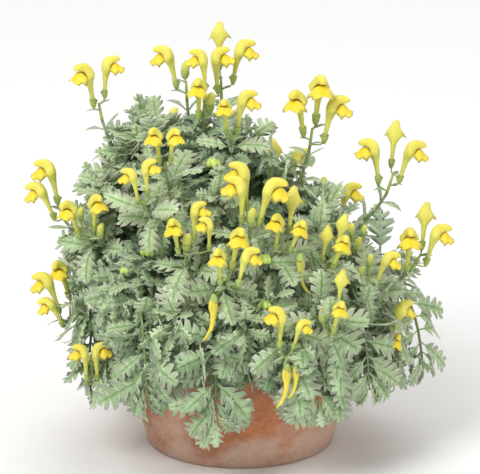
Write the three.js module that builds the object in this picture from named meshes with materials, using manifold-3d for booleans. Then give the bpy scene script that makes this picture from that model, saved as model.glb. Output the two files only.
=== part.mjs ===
// Yellow skullcap in a shallow clay pan.
// Millimetres, +Z up. The origin is the centre of the pan's flat underside, the viewer stands at -Y.
// Square stems rise from plain holes in the soil or trail over the rim. Each carries crossed pairs of
// lobed leaves and ends in a head of two-lipped yellow flowers.

import * as THREE from 'three';
import { mergeVertices } from 'three/addons/utils/BufferGeometryUtils.js';
import Module from 'manifold-3d';

const wasm = await Module();
wasm.setup();

// The clay pan
const PAN = {
  height: 80,
  footRadius: 52,
  rimRadius: 75,
  rimHeight: 17,
  rimStep: 3,
  wall: 4.5,
  floor: 8,
  edge: 1.6,
  facets: 28,
  drainHoles: 3,
  drainRadius: 4.5,
  drainCircle: 24,
};

// The soil, a little below the rim and slightly domed
const SOIL = { top: 71, dome: 2.5, gap: 0.4, holeHalf: 1.9, holeDepth: 12 };

// Stems, leaves, bracts
const STEM = { rootHalf: 1.15, tipHalf: 0.85, inSoil: 11, seatGap: 0.3, nodeHalf: 0.5,
  branchSpread: 7 };

// How a shoot grows: the height that it first climbs towards, then how it comes to its tip, from
// inward and above. An upright shoot takes shares of its own rise and reach instead.
const HABITS = {
  upright: { climb: 0.4, inward: 0.3, below: 0.35 },
  spreading: { arch: 104, inward: 13, above: 12 },
  hanging: { arch: 112, inward: 8, above: 58 },
  upturned: { arch: 142, inward: 8, above: 3 },
};
const LEAF = {
  thickness: 0.7,
  halfWidth: 0.33,
  baseHalf: 0.75,
  start: 0.4,
  firstNode: 4,
  spacing: 10,
};
const BRACT = { length: 11, halfWidth: 0.2, node: 4 };
const CLEARANCE = 0.35;

// Flower, at size 1
const RACHIS = { half: 0.85, topHalf: 0.65, node: 1.6, longest: 12, pedicelHalf: 0.5, pedicelDrop: 3,
  upturn: 0.7, levelPull: 0.12, sunk: 0.15, skin: 0.02 };
const LIP = { length: 9.2, thickness: 0.8, raise: 1.2, droop: 0.05, sideDroop: 0.03 };
const BUD = { length: 6.5, half: 1.9 };

const CLAY = { color: 0xb9714c, roughness: 0.9, metalness: 0 };
const EARTH = { color: 0x4a3a2c, roughness: 1, metalness: 0 };
const FOLIAGE = { color: 0x86a274, roughness: 0.75, metalness: 0 };
const PETALS = { color: 0xf0dc3c, roughness: 0.6, metalness: 0 };

const UP = new THREE.Vector3(0, 0, 1);
const vec = (x, y, z) => new THREE.Vector3(x, y, z);
const rad = THREE.MathUtils.degToRad;

// Flower heads. A flower is [x, y, z of its calyx from the stem's tip, facing, lean, size]: facing 0
// looks at the viewer, 90 to the right, 180 away; lean is the tube's tilt to the right. A bud is
// [x, y, z, size], and hangs once withered.
const HEADS = {
  left_top: {
    flowers: [[-4.4, -2, 8, -55, -6, 1.0], [1.5, 1, 12.5, 90, 0, 0.88]],
    buds: [],
  },
  top_left: {
    flowers: [[-5.5, 0, 7, -92, -10, 0.95]],
    buds: [[-1, 0, 13, 1.5]],
  },
  top_middle: {
    flowers: [[1, 6, 17, -90, 0, 0.88], [-2.5, -3, 4, -8, 1, 0.95]],
    buds: [[3.4, -1, 7, 1.7]],
  },
  top_crown: {
    flowers: [[-1, 5, 17, 172, -2, 1.0], [-2, -3, 5.5, 90, -7, 0.97], [6, 1, 10, 92, 8, 0.97]],
    buds: [],
  },
  top_right: {
    flowers: [[-2.4, -3, 4.5, -4, -3, 0.82], [3.4, 0, 3.5, 88, 5, 0.95]],
    buds: [],
  },
  upper_left: {
    flowers: [[-2.9, -2, 3.8, -22, -6, 0.86], [2.8, -2, 4.2, 28, 3, 0.82]],
    buds: [],
  },
  tall_right: {
    flowers: [[-3.4, -3, 7, -25, -7, 1.08], [3, 1, 12.5, 12, 4, 1.15], [7.5, -3, 3, 85, 9, 1.05]],
    buds: [],
  },
  far_right: {
    flowers: [[-4.4, -1, 6, -80, -4, 1.0], [2.5, 4, 14, 170, 5, 1.0], [6.6, -1, 6.4, 90, 14, 0.98]],
    buds: [],
  },
  far_left: {
    flowers: [[-5, -3, 0.8, -88, -20, 0.92], [-3.5, 3, 8, -88, -8, 1.0]],
    buds: [],
  },
  left_shoulder: {
    flowers: [[-5, -4, 2, -36, -12, 0.9], [3.4, 1, 3.4, 30, -1, 0.9]],
    buds: [[-4.5, 5, 9, 1.2], [6.5, -4, 2, 1.3]],
  },
  left_front: {
    flowers: [[-3.3, -2, 2.3, -90, -6, 0.75], [2, 1, 5, 84, -8, 0.78]],
    buds: [],
  },
  centre_left: {
    flowers: [[-3.5, -3, 2.3, -6, -9, 0.85], [5, 4.5, 7.5, 96, -4, 0.8], [12.5, -5, 5, -72, 4, 0.72]],
    buds: [[0.5, -4.5, 4.5, 1.5]],
  },
  centre: {
    flowers: [[-4, -3, 4.7, -86, 2, 1.0], [-1.5, 7.5, 9, -100, 0, 1.0], [5, -3, 3.4, 72, 12, 1.1]],
    buds: [[1, -5, 5, 1.4]],
  },
  centre_low: {
    flowers: [[-2.5, -4, 3, -12, -2, 0.85], [3.5, 7, 8, 8, 10, 1.0], [7, -6.5, 3, 92, 10, 0.85]],
    buds: [[-6, -6, -2, 1.8, 'hangs']],
  },
  centre_right: {
    flowers: [[3, 4, 9, 176, 6, 1.0], [-3.8, -2, 2, -24, 4, 0.85], [3.6, -4, 1.5, 6, 20, 0.8]],
    buds: [[9, -6, 1, 1.6, 'hangs']],
  },
  right_front: {
    flowers: [[-2, 4, 3, 176, 10, 0.78], [3.4, -4, 2, 2, 20, 0.85], [6, 4, 9, 158, 10, 0.8]],
    buds: [],
  },
  bud_head: {
    flowers: [],
    buds: [[-4, -2, 2, 1.3], [2.5, -4, 2.5, 1.3], [-1, 5, 6, 1.2], [-1, -3, 11, 1.1], [6, 0, 10, 1.0]],
  },
  right_low: {
    flowers: [[4, -1, 15, 172, 7, 0.8], [1.6, -4, 2, 8, 12, 0.78]],
    buds: [[-4.5, -3, 8, 1.2]],
  },
  right_shoulder: {
    flowers: [[-1, -3, 2, 4, 2, 1.05], [7, 2, 13, 170, 5, 1.0], [9, -2, 5, 90, 13, 0.95]],
    buds: [],
  },
  right_inner: {
    flowers: [[4, -2, 2, 88, 18, 0.82]],
    buds: [[1, -2, 13, 1.1], [-3.5, -2, 6, 1.1]],
  },
  right_skirt: {
    flowers: [[4, 1, 12, 125, 14, 0.9], [-0.5, -3, 1.5, 10, 24, 0.76]],
    buds: [[-3, 2, 10, 1.2]],
  },
  left_skirt: {
    flowers: [[-6, -3, 6.5, -90, -16, 0.95], [-4, -8, 0, -74, -24, 0.76], [-1, 10, 10, -20, -14, 0.96]],
    buds: [],
  },
  left_low: {
    flowers: [[-3, -3, 2.4, -88, 0, 0.8], [3, -2, 2.4, 88, -6, 0.82]],
    buds: [[0, 1, 10, 1.2]],
  },
  front_low: {
    flowers: [[-3.2, -2, 6, -70, 6, 0.9], [4.2, -1, 5, 82, 12, 0.68]],
    buds: [[1, -5, -2, 1.7, 'hangs'], [6, -3, -2, 1.4, 'hangs']],
  },
  back_left: { flowers: [[-3.6, 2, 6, -120, -6, 1.0], [3.4, 4, 8, 165, 6, 1.0]], buds: [] },
  back_middle: { flowers: [[-3.4, 3, 5, 200, -6, 0.95], [4, 2, 9, 120, 4, 1.0]], buds: [] },
  back_right: { flowers: [[-3.6, 3, 7, 190, -4, 1.0], [4, 1, 5, 95, 8, 0.9]], buds: [] },
  back_far_right: { flowers: [[-2.6, 3, 7, 175, -4, 0.95], [4.4, 1, 6, 90, 10, 0.95]], buds: [] },
  back_low_left: { flowers: [[-4, 3, 4, 220, -10, 0.9], [3.4, 4, 5, 160, 4, 0.9]], buds: [] },
  back_low_right: { flowers: [[-3.4, 4, 5, 190, -4, 0.9], [4, 3, 4, 150, 6, 0.85]], buds: [] },
};

// Stems. root is the hole in the soil. Every shoot ends at tip; a branch also gives the share of the
// first shoot's length where it leaves it. habit is one of HABITS, or upright where it isn't given.
const STEMS = [
  {
    root: [-36, 2],
    shoots: [
      { tip: [-75, -5, 185], pairs: 2, leaf: 28, head: 'left_top', bracts: true },
      { from: 0.5, tip: [-62, 12, 164], pairs: 2, leaf: 30 },
    ],
  },
  {
    root: [-19, 12],
    shoots: [
      { tip: [-29, 12, 191], pairs: 2, leaf: 26, head: 'top_left', bracts: true },
      { from: 0.55, tip: [-20, -9, 184], pairs: 1, leaf: 26, head: 'top_middle' },
    ],
  },
  {
    root: [-3, 8],
    shoots: [
      { tip: [-10, 14, 190], pairs: 2, leaf: 26, head: 'top_crown' },
      { from: 0.55, tip: [-5, -26, 180], pairs: 1, leaf: 26, head: 'top_right' },
    ],
  },
  {
    root: [-24, -20],
    shoots: [
      { tip: [-40, -48, 170], pairs: 2, leaf: 28, head: 'upper_left' },
      { from: 0.5, tip: [-51, -68, 156], pairs: 1, leaf: 28, head: 'left_front' },
    ],
  },
  {
    root: [14, 0],
    shoots: [
      { tip: [38, -8, 171], pairs: 1, leaf: 26, head: 'tall_right', bracts: true },
      { from: 0.45, tip: [22, 10, 156], pairs: 2, leaf: 30 },
    ],
  },
  {
    root: [36, 4],
    shoots: [
      { tip: [80, -5, 143], pairs: 1, leaf: 20, head: 'far_right', bracts: true },
      { from: 0.45, tip: [50, 4, 139], pairs: 2, leaf: 30 },
    ],
  },
  {
    root: [-50, -8],
    shoots: [
      { tip: [-96, -8, 129], pairs: 2, leaf: 26, head: 'far_left', bracts: true },
      { from: 0.5, tip: [-82, -36, 127], pairs: 2, leaf: 28, head: 'left_shoulder' },
    ],
  },
  {
    root: [-12, -40],
    shoots: [
      { tip: [-29, -78, 131], pairs: 2, leaf: 28, head: 'centre_left' },
      { from: 0.45, tip: [-8, -88, 117], pairs: 2, leaf: 28, head: 'centre_low' },
    ],
  },
  {
    root: [6, -30],
    shoots: [
      { tip: [5, -70, 143], pairs: 2, leaf: 28, head: 'centre' },
      { from: 0.5, tip: [23, -68, 130], pairs: 1, leaf: 28, head: 'centre_right' },
    ],
  },
  {
    root: [30, -30],
    shoots: [
      { tip: [46, -62, 118], pairs: 2, leaf: 28, head: 'right_front' },
      { from: 0.5, tip: [61, -34, 118], pairs: 2, leaf: 28, head: 'bud_head' },
    ],
  },
  {
    root: [50, -18],
    shoots: [
      { tip: [92, -22, 103], pairs: 2, leaf: 24, head: 'right_shoulder', bracts: true },
      { from: 0.4, tip: [69, -48, 103], pairs: 2, leaf: 28, head: 'right_inner' },
    ],
  },
  {
    root: [10, -56],
    shoots: [
      { habit: 'spreading', tip: [24, -94, 80], pairs: 2, leaf: 28, head: 'front_low' },
      { from: 0.16, habit: 'spreading', tip: [2, -93, 92], pairs: 2, leaf: 28 },
    ],
  },
  {
    root: [50, -38],
    shoots: [
      { habit: 'upturned', tip: [78, -40, 58], pairs: 2, leaf: 28, head: 'right_skirt' },
      { from: 0.4, habit: 'hanging', tip: [70, -68, 52], pairs: 3, leaf: 32 },
    ],
  },
  {
    root: [-56, -22],
    shoots: [
      { habit: 'upturned', tip: [-92, -28, 77], pairs: 2, leaf: 26, head: 'left_skirt' },
      { from: 0.4, tip: [-66, -62, 98], pairs: 3, leaf: 30 },
    ],
  },
  {
    root: [-42, -42],
    shoots: [
      { habit: 'upturned', tip: [-80, -52, 50], pairs: 3, leaf: 30, head: 'left_low' },
      { from: 0.5, habit: 'hanging', tip: [-50, -84, 50], pairs: 3, leaf: 30 },
    ],
  },
  {
    root: [-18, -56],
    shoots: [
      { habit: 'hanging', tip: [-13, -94, 42], pairs: 3, leaf: 30 },
      { from: 0.14, habit: 'spreading', tip: [-36, -86, 92], pairs: 3, leaf: 30 },
    ],
  },
  {
    root: [30, -50],
    shoots: [
      { habit: 'hanging', tip: [42, -88, 48], pairs: 3, leaf: 28 },
      { from: 0.14, habit: 'spreading', tip: [48, -85, 90], pairs: 2, leaf: 28, head: 'right_low' },
    ],
  },
  {
    root: [-32, 20],
    shoots: [
      { tip: [-46, 12, 174], pairs: 3, leaf: 30 },
      { from: 0.5, tip: [-50, -22, 166], pairs: 2, leaf: 30 },
    ],
  },
  {
    root: [-4, -12],
    shoots: [
      { tip: [4, -4, 170], pairs: 3, leaf: 30 },
      { from: 0.5, tip: [-14, -54, 158], pairs: 3, leaf: 30 },
    ],
  },
  {
    root: [48, 14],
    shoots: [
      { tip: [74, 8, 96], pairs: 3, leaf: 30 },
      { from: 0.5, tip: [40, -34, 134], pairs: 2, leaf: 30 },
    ],
  },
  {
    root: [-46, 16],
    shoots: [
      { tip: [-82, 14, 146], pairs: 3, leaf: 30 },
      { from: 0.5, tip: [-74, -24, 148], pairs: 2, leaf: 30 },
    ],
  },
  {
    root: [-58, 8],
    shoots: [
      { habit: 'hanging', tip: [-90, 10, 56], pairs: 3, leaf: 30 },
      { from: 0.14, habit: 'spreading', tip: [-90, 20, 98], pairs: 3, leaf: 30 },
    ],
  },
  {
    root: [57, 0],
    shoots: [
      { habit: 'hanging', tip: [86, -4, 54], pairs: 3, leaf: 30 },
      { from: 0.5, habit: 'hanging', tip: [80, 34, 56], pairs: 3, leaf: 30 },
    ],
  },
  {
    root: [-36, 38],
    shoots: [
      { tip: [-44, 77, 132], pairs: 2, leaf: 30, head: 'back_left' },
      { from: 0.45, tip: [-60, 72, 112], pairs: 2, leaf: 30, head: 'back_low_left' },
    ],
  },
  {
    root: [-10, 32],
    shoots: [
      { tip: [-14, 76, 130], pairs: 3, leaf: 30, head: 'back_middle' },
      { from: 0.45, tip: [-18, 82, 132], pairs: 3, leaf: 30 },
    ],
  },
  {
    root: [16, 34],
    shoots: [
      { tip: [24, 58, 121], pairs: 3, leaf: 30, head: 'back_right' },
      { from: 0.45, tip: [22, 84, 112], pairs: 3, leaf: 30, head: 'back_low_right' },
    ],
  },
  {
    root: [38, 30],
    shoots: [
      { tip: [51, 62, 98], pairs: 3, leaf: 30, head: 'back_far_right' },
      { from: 0.45, tip: [58, 72, 92], pairs: 3, leaf: 30 },
    ],
  },
  {
    root: [0, 58],
    shoots: [
      { habit: 'hanging', tip: [2, 92, 54], pairs: 3, leaf: 32 },
      { from: 0.42, habit: 'hanging', tip: [48, 80, 54], pairs: 3, leaf: 32 },
      { from: 0.42, habit: 'hanging', tip: [-50, 80, 54], pairs: 3, leaf: 32 },
    ],
  },
];

// Seeded draws
function makeDraw(seed) {
  let state = seed;
  return (low, high) => {
    state = (state * 1103515245 + 12345) % 2147483648;
    return low + ((high - low) * state) / 2147483648;
  };
}

// A closed shell under construction
class Shell {
  constructor() {
    this.points = [];
    this.faces = [];
  }

  point(v) {
    this.points.push(v.x, v.y, v.z);
    return this.points.length / 3 - 1;
  }

  at(i) {
    return vec(...this.points.slice(3 * i, 3 * i + 3));
  }

  triangle(a, b, c) {
    this.faces.push(a, b, c);
  }

  quad(a, b, c, d) {
    this.triangle(a, b, c);
    this.triangle(a, c, d);
  }

  // A tube through rings of four corners. It closes its own start or grows from base, the four
  // corners of an open side, and ends in a cap or a point. growths are { band, side, grow }: that
  // side of that band is left open and handed to grow.
  loft(base, rings, growths = [], tip = null) {
    const corners = rings.map((ring) => ring.map((v) => this.point(v)));
    if (base) {
      corners.unshift(this.turnedTo(base, rings[0]));
    } else {
      this.quad(...[...corners[0]].reverse());
    }
    for (let band = 0; band + 1 < corners.length; band += 1) {
      for (let k = 0; k < 4; k += 1) {
        const n = (k + 1) % 4;
        const side = [corners[band][k], corners[band][n], corners[band + 1][n], corners[band + 1][k]];
        const growth = growths.find((item) => item.band === band && item.side === k);
        if (growth) {
          growth.grow(side);
        } else {
          this.quad(...side);
        }
      }
    }
    const last = corners[corners.length - 1];
    if (tip) {
      const end = this.point(tip);
      last.forEach((corner, k) => this.triangle(corner, last[(k + 1) % 4], end));
    } else {
      this.quad(...last);
    }
  }

  // The corners of base in the cyclic order that twists least towards ring
  turnedTo(base, ring) {
    const turns = [0, 1, 2, 3].map((turn) => base.map((_, k) => base[(k + turn) % 4]));
    const twist = (turn) => turn.reduce((sum, i, k) => sum + this.at(i).distanceToSquared(ring[k]), 0);
    return turns.reduce((best, turn) => (twist(turn) < twist(best) ? turn : best));
  }

  // A blade of even thickness. levels run from the base to the last notch; each is
  // { at: [along, across], lobe: [along, across] } with the lobe standing before the notch.
  // place turns (along, across, side of the thickness) into a point. base, where given, is the
  // open side that the blade grows from.
  blade(levels, tipAlong, place, base) {
    const outline = [];
    levels.forEach((level, i) => {
      if (i > 0 && level.lobe) {
        outline.push([level.lobe[0], -level.lobe[1]]);
      }
      outline.push([level.at[0], -level.at[1]]);
    });
    const mirrored = outline.map(([along, across]) => [along, -across]).reverse();
    const round = [...outline, [tipAlong, 0], ...mirrored];
    const last = round.length - 1;
    const layer = (side, first, final) => round.map(([along, across], i) => {
      if (base && i === 0) return base[first];
      if (base && i === last) return base[final];
      return this.point(place(along, across, side));
    });
    const lower = layer(-1, 0, 1);
    const upper = layer(1, 3, 2);
    const face = (i, j, k) => {
      this.triangle(upper[i], upper[j], upper[k]);
      this.triangle(lower[k], lower[j], lower[i]);
    };
    let right = 0;
    levels.slice(1).forEach((level) => {
      const next = right + (level.lobe ? 2 : 1);
      const [left, nextLeft] = [last - right, last - next];
      face(right, next, nextLeft);
      face(right, nextLeft, left);
      if (level.lobe) {
        face(right, right + 1, next);
        face(nextLeft, nextLeft + 1, left);
      }
      right = next;
    });
    face(right, right + 1, last - right);
    for (let i = 0; i < last; i += 1) {
      this.quad(lower[i], lower[i + 1], upper[i + 1], upper[i]);
    }
    if (!base) {
      this.quad(lower[last], lower[0], upper[0], upper[last]);
    }
  }

  solid() {
    return new wasm.Manifold(
      new wasm.Mesh({
        numProp: 3,
        vertProperties: new Float32Array(this.points),
        triVerts: new Uint32Array(this.faces),
      }),
    );
  }
}

function solidOf(geometry) {
  const bare = geometry.toNonIndexed();
  bare.deleteAttribute('normal');
  bare.deleteAttribute('uv');
  const merged = mergeVertices(bare, 1e-4);
  return new wasm.Manifold(
    new wasm.Mesh({
      numProp: 3,
      vertProperties: merged.attributes.position.array,
      triVerts: new Uint32Array(merged.index.array),
    }),
  );
}

function meshOf(name, solid, look) {
  const { vertProperties, triVerts } = solid.getMesh();
  const geometry = new THREE.BufferGeometry();
  geometry.setAttribute('position', new THREE.BufferAttribute(new Float32Array(vertProperties), 3));
  geometry.setIndex([...triVerts]);
  geometry.computeVertexNormals();
  const mesh = new THREE.Mesh(geometry, new THREE.MeshStandardMaterial({ ...look, flatShading: true }));
  mesh.name = name;
  return mesh;
}

const join = (solids) => wasm.Manifold.union(solids);

// Pan and soil

// Inner radius of the pan at a height
function panInside(z) {
  const share = (z - PAN.floor) / (PAN.height - PAN.floor);
  return PAN.footRadius - PAN.wall + (PAN.rimRadius - PAN.footRadius) * share;
}

function turned(profile) {
  const points = profile.map(([r, z]) => new THREE.Vector2(r, z));
  return solidOf(new THREE.LatheGeometry(points, PAN.facets).rotateX(Math.PI / 2));
}

function makePan() {
  const { height, footRadius, rimRadius, rimHeight, rimStep, wall, floor, edge } = PAN;
  const underRim = height - rimHeight;
  const bodyTop = footRadius + (rimRadius - rimStep - footRadius) * (underRim / height);
  const pan = turned([
    [0, 0],
    [footRadius - edge, 0],
    [footRadius, edge],
    [bodyTop, underRim],
    [rimRadius - edge, underRim],
    [rimRadius, height - edge],
    [rimRadius - edge, height],
    [panInside(height) + edge / 2, height],
    [panInside(height), height - edge],
    [panInside(floor), floor],
    [0, floor],
  ]);
  const drains = [];
  for (let i = 0; i < PAN.drainHoles; i += 1) {
    const angle = (2 * Math.PI * (i + 0.5)) / PAN.drainHoles;
    const drain = new THREE.CylinderGeometry(PAN.drainRadius, PAN.drainRadius, 3 * floor, 8);
    drain.rotateX(Math.PI / 2);
    drain.translate(PAN.drainCircle * Math.cos(angle), PAN.drainCircle * Math.sin(angle), 0);
    drains.push(solidOf(drain));
  }
  return pan.subtract(join(drains));
}

function makeSoil() {
  const { top, dome, gap, holeHalf, holeDepth } = SOIL;
  const soil = turned([
    [0, PAN.floor + gap],
    [panInside(PAN.floor) - gap, PAN.floor + gap],
    [panInside(top) - gap, top],
    [0, top + dome],
  ]);
  const holes = STEMS.map(({ root, shoots }) => {
    const [x, y] = shoots[0].tip;
    const hole = new THREE.BoxGeometry(2 * holeHalf, 2 * holeHalf, 2 * holeDepth);
    hole.rotateZ(Math.atan2(y - root[1], x - root[0]));
    hole.translate(root[0], root[1], top);
    return solidOf(hole);
  });
  return soil.subtract(join(holes));
}

// Stems

// Directions of the four sides of a square stem: front, across, back, across
function sideNormals(along, across) {
  const front = across.clone().cross(along).normalize();
  const side = along.clone().cross(front).normalize();
  return [front, side, front.clone().negate(), side.clone().negate()];
}

// Four corners round a point
function squareRing(centre, along, across, half) {
  const [front, side] = sideNormals(along, across);
  return [[1, -1], [1, 1], [-1, 1], [-1, -1]].map(([f, s]) =>
    centre.clone().addScaledVector(front, f * half).addScaledVector(side, s * half));
}

// Centre line of a shoot from where it leaves the soil, or its parent's side that faces away
function shootCurve(start, shoot, away) {
  const tip = vec(...shoot.tip);
  const out = vec(tip.x - start.x, tip.y - start.y, 0);
  const reach = out.length();
  const rise = tip.z - start.z;
  const habit = HABITS[shoot.habit || 'upright'];
  const [climb, inward, above] = shoot.habit
    ? [Math.max(habit.arch - start.z, 8), habit.inward, habit.above]
    : [habit.climb * rise, habit.inward * reach, -habit.below * rise];
  const first = start.clone().addScaledVector(UP, climb).addScaledVector(away, STEM.branchSpread);
  const second = tip.clone().addScaledVector(UP, above).addScaledVector(out.normalize(), -inward);
  return new THREE.CubicBezierCurve3(start, first, second, tip);
}

// A shoot's line and the leaf nodes on it
function planShoot(start, shoot, draw, away = vec(0, 0, 0)) {
  const curve = shootCurve(start, shoot, away);
  const length = curve.getLength();
  const out = vec(shoot.tip[0] - start.x, shoot.tip[1] - start.y, 0).normalize();
  const across = UP.clone().cross(out);
  const nodes = [];
  const turn = draw(0, 1) < 0.5 ? 0 : 1;
  let back = LEAF.firstNode;
  if (shoot.bracts) {
    nodes.push({ back: BRACT.node, turn: 1, bracts: true });
    back = BRACT.node + 9;
  } else if (shoot.head) {
    back += 3;
  }
  for (let pair = 0; pair < shoot.pairs; pair += 1) {
    nodes.push({ back, turn: (turn + pair) % 2, pair });
    back += LEAF.spacing * draw(0.9, 1.2);
  }
  return { ...shoot, curve, across, length, nodes: nodes.filter((node) => node.back < length - 6) };
}

const isMain = (shoot) => shoot.from === undefined;

// Where a shoot's rings stand: at its start, bends, nodes and tip
function stationsOf(shoot) {
  const halfAt = (share) => THREE.MathUtils.lerp(
    isMain(shoot) ? STEM.rootHalf : STEM.tipHalf, STEM.tipHalf, share);
  const marks = shoot.nodes.flatMap(({ back }) => {
    const share = 1 - back / shoot.length;
    return [share - STEM.nodeHalf / shoot.length, share + STEM.nodeHalf / shoot.length];
  });
  (shoot.forks || []).forEach(({ share }) => {
    marks.push(share - STEM.tipHalf / shoot.length, share + STEM.tipHalf / shoot.length);
  });
  const bends = (isMain(shoot) ? [0] : []).concat(shoot.habit ? [0.3, 0.5, 0.7] : [0.35]);
  const clear = 5 / shoot.length;
  bends.filter((bend) => marks.every((mark) => Math.abs(mark - bend) > clear))
    .forEach((bend) => marks.push(bend));
  marks.push(1);
  return marks.sort((a, b) => a - b).map((share) => ({ share, half: halfAt(share) }));
}

function ringsOf(shoot, stations) {
  const rings = stations.map(({ share, half }) =>
    squareRing(shoot.curve.getPointAt(share), shoot.curve.getTangentAt(share), shoot.across, half));
  if (isMain(shoot)) {
    const foot = shoot.curve.getPointAt(0).addScaledVector(UP, -STEM.inSoil);
    rings.unshift(squareRing(foot, UP, shoot.across, STEM.rootHalf));
  }
  return rings;
}

// Plain solid of a shoot, for the fit tests
function bareSolid(shoot) {
  const shell = new Shell();
  const stations = stationsOf(shoot);
  if (!isMain(shoot)) {
    stations.unshift({ share: 0, half: STEM.tipHalf });
  }
  shell.loft(null, ringsOf(shoot, stations));
  return shell.solid();
}

function planStem(stem, draw) {
  const start = vec(stem.root[0], stem.root[1], SOIL.top + SOIL.dome);
  const main = planShoot(start, stem.shoots[0], draw);
  const branches = stem.shoots.slice(1).map((plan) => {
    const target = vec(...plan.tip);
    const along = main.curve.getTangentAt(plan.from);
    const fork = main.curve.getPointAt(plan.from);
    const toTip = target.clone().sub(fork);
    const normals = sideNormals(along, main.across);
    const taken = (main.forks || []).filter(({ share }) => share === plan.from).map(({ side }) => side);
    const sides = stem.shoots[0].habit ? [1, 3] : [0, 1, 2, 3];
    const side = sides.filter((k) => !taken.includes(k))
      .reduce((best, k) => (normals[k].dot(toTip) > normals[best].dot(toTip) ? k : best));
    const away = normals[side];
    const branch = planShoot(fork.clone().addScaledVector(away, 1), plan, draw, away);
    main.forks = [...(main.forks || []), { share: plan.from, side, branch }];
    return branch;
  });
  const lowest = Math.min(...main.nodes.map(({ back }) => 1 - back / main.length));
  main.forks?.forEach(({ share }) => {
    if (share > lowest - 3 / main.length) {
      main.nodes = main.nodes.filter(({ back }) => 1 - back / main.length > share + 4 / main.length);
    }
  });
  return [main, ...branches];
}

// Leaves

const LOBED = [
  { at: [0, 0] },
  { at: [0.4, 0.32], lobe: [0.46, 0.84] },
  { at: [0.68, 0.34], lobe: [0.78, 0.98] },
];
const SIMPLE = [{ at: [0, 0] }, { at: [0.45, 1] }];

// Sizes in millimetres of an outline, and the rule that bends it: forward along direction, its
// upper face towards up, arched downwards
function bladeForm(outline, leaf, extra = 0) {
  const { length, half, arch, cup, point, direction, up } = leaf;
  const forward = direction.clone().normalize();
  const across = up.clone().cross(forward).normalize();
  const over = forward.clone().cross(across).normalize();
  const curl = rad(arch) / length;
  const place = (a, b, side) => {
    const lift = cup * Math.abs(b) + side * (LEAF.thickness / 2 + extra);
    const turn = curl * a;
    return point.clone()
      .addScaledVector(forward, Math.sin(turn) / curl)
      .addScaledVector(over, -(1 - Math.cos(turn)) / curl)
      .addScaledVector(across, b)
      .addScaledVector(over, lift * Math.cos(turn))
      .addScaledVector(forward, lift * Math.sin(turn));
  };
  const levels = outline.map(({ at, lobe }, i) => ({
    at: i === 0 ? [LEAF.start, LEAF.baseHalf] : [at[0] * length, at[1] * half],
    lobe: lobe && [lobe[0] * length, lobe[1] * half],
  }));
  return { levels, length: length + extra, place };
}

// The leaf as a solid of its own, for the fit tests
function looseLeaf(outline, leaf, extra) {
  const { levels, length, place } = bladeForm(outline, leaf, extra);
  const shell = new Shell();
  shell.blade(levels, length, place);
  return shell.solid();
}

// Boxes that keep the fit tests short
function boxOf(solid) {
  const { min, max } = solid.boundingBox();
  return new THREE.Box3(vec(...min), vec(...max));
}

const boxed = (solid) => ({ solid, box: boxOf(solid) });

function touches(candidate, others) {
  const box = boxOf(candidate);
  return others.some((other) =>
    other.box.intersectsBox(box) && !candidate.intersect(other.solid).isEmpty());
}

// Sizes and turns that a leaf tries in order until it stands clear
const TRIES = [
  [1, 0], [1, 14], [1, -14], [0.86, 0], [0.86, 22], [0.86, -20],
  [0.72, 0], [0.72, 28], [0.72, -26], [0.58, 0], [0.58, 20],
];

function fitLeaf(outline, spot, tries, placed) {
  for (const [scale, turn] of tries) {
    const angle = rad(spot.angle + turn);
    const direction = spot.up.clone().multiplyScalar(Math.cos(angle))
      .addScaledVector(spot.outward, Math.sin(angle));
    const length = spot.length * scale;
    const leaf = { ...spot, direction, length, half: spot.width * length };
    const room = looseLeaf(outline, leaf, CLEARANCE);
    if (!touches(room, placed)) {
      placed.push(boxed(looseLeaf(outline, leaf)));
      return leaf;
    }
  }
  return null;
}

function fitLeaves(shoot, placed, draw) {
  shoot.nodes.forEach((node) => {
    const share = 1 - node.back / shoot.length;
    const point = shoot.curve.getPointAt(share);
    const up = shoot.curve.getTangentAt(share);
    const normals = sideNormals(up, shoot.across);
    node.leaves = [node.turn, node.turn + 2].map((side) => {
      const outward = normals[side];
      const base = point.clone().addScaledVector(outward, STEM.tipHalf);
      const arch = node.bracts ? 12 : draw(18, 46);
      const cup = draw(0.08, 0.24);
      const spot = { point: base, up, outward, arch, cup };
      if (node.bracts) {
        Object.assign(spot, { angle: 48, length: BRACT.length, width: BRACT.halfWidth });
        return { side, outline: SIMPLE, leaf: fitLeaf(SIMPLE, spot, [[1, 0], [0.8, 15]], placed) };
      }
      const first = node.pair === 0 && !shoot.head;
      Object.assign(spot, {
        angle: 34 + 12 * node.pair + draw(-5, 8) + (shoot.head ? 10 : 0),
        length: shoot.leaf * draw(0.9, 1.08) * (first ? 0.86 : 1),
        width: LEAF.halfWidth,
      });
      return { side, outline: LOBED, leaf: fitLeaf(LOBED, spot, TRIES, placed) };
    });
  });
}

// The shoot with its leaves and branches as one shell
function growShoot(shell, shoot, base) {
  const stations = stationsOf(shoot);
  const bandAt = (share) => stations.findIndex((station) => station.share > share);
  const growths = [];
  shoot.nodes.forEach(({ back, leaves }) => {
    const band = bandAt(1 - back / shoot.length);
    leaves.filter(({ leaf }) => leaf).forEach(({ side, outline, leaf }) => {
      const { levels, length, place } = bladeForm(outline, leaf);
      growths.push({ band, side, grow: (open) => shell.blade(levels, length, place, open) });
    });
  });
  (shoot.forks || []).forEach(({ share, side, branch }) => {
    growths.push({ band: bandAt(share), side, grow: (open) => growShoot(shell, branch, open) });
  });
  shell.loft(base, ringsOf(shoot, stations), growths);
}

function makeStem(shoots) {
  const shell = new Shell();
  growShoot(shell, shoots[0], null);
  return shell.solid();
}

// Flowers

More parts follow.
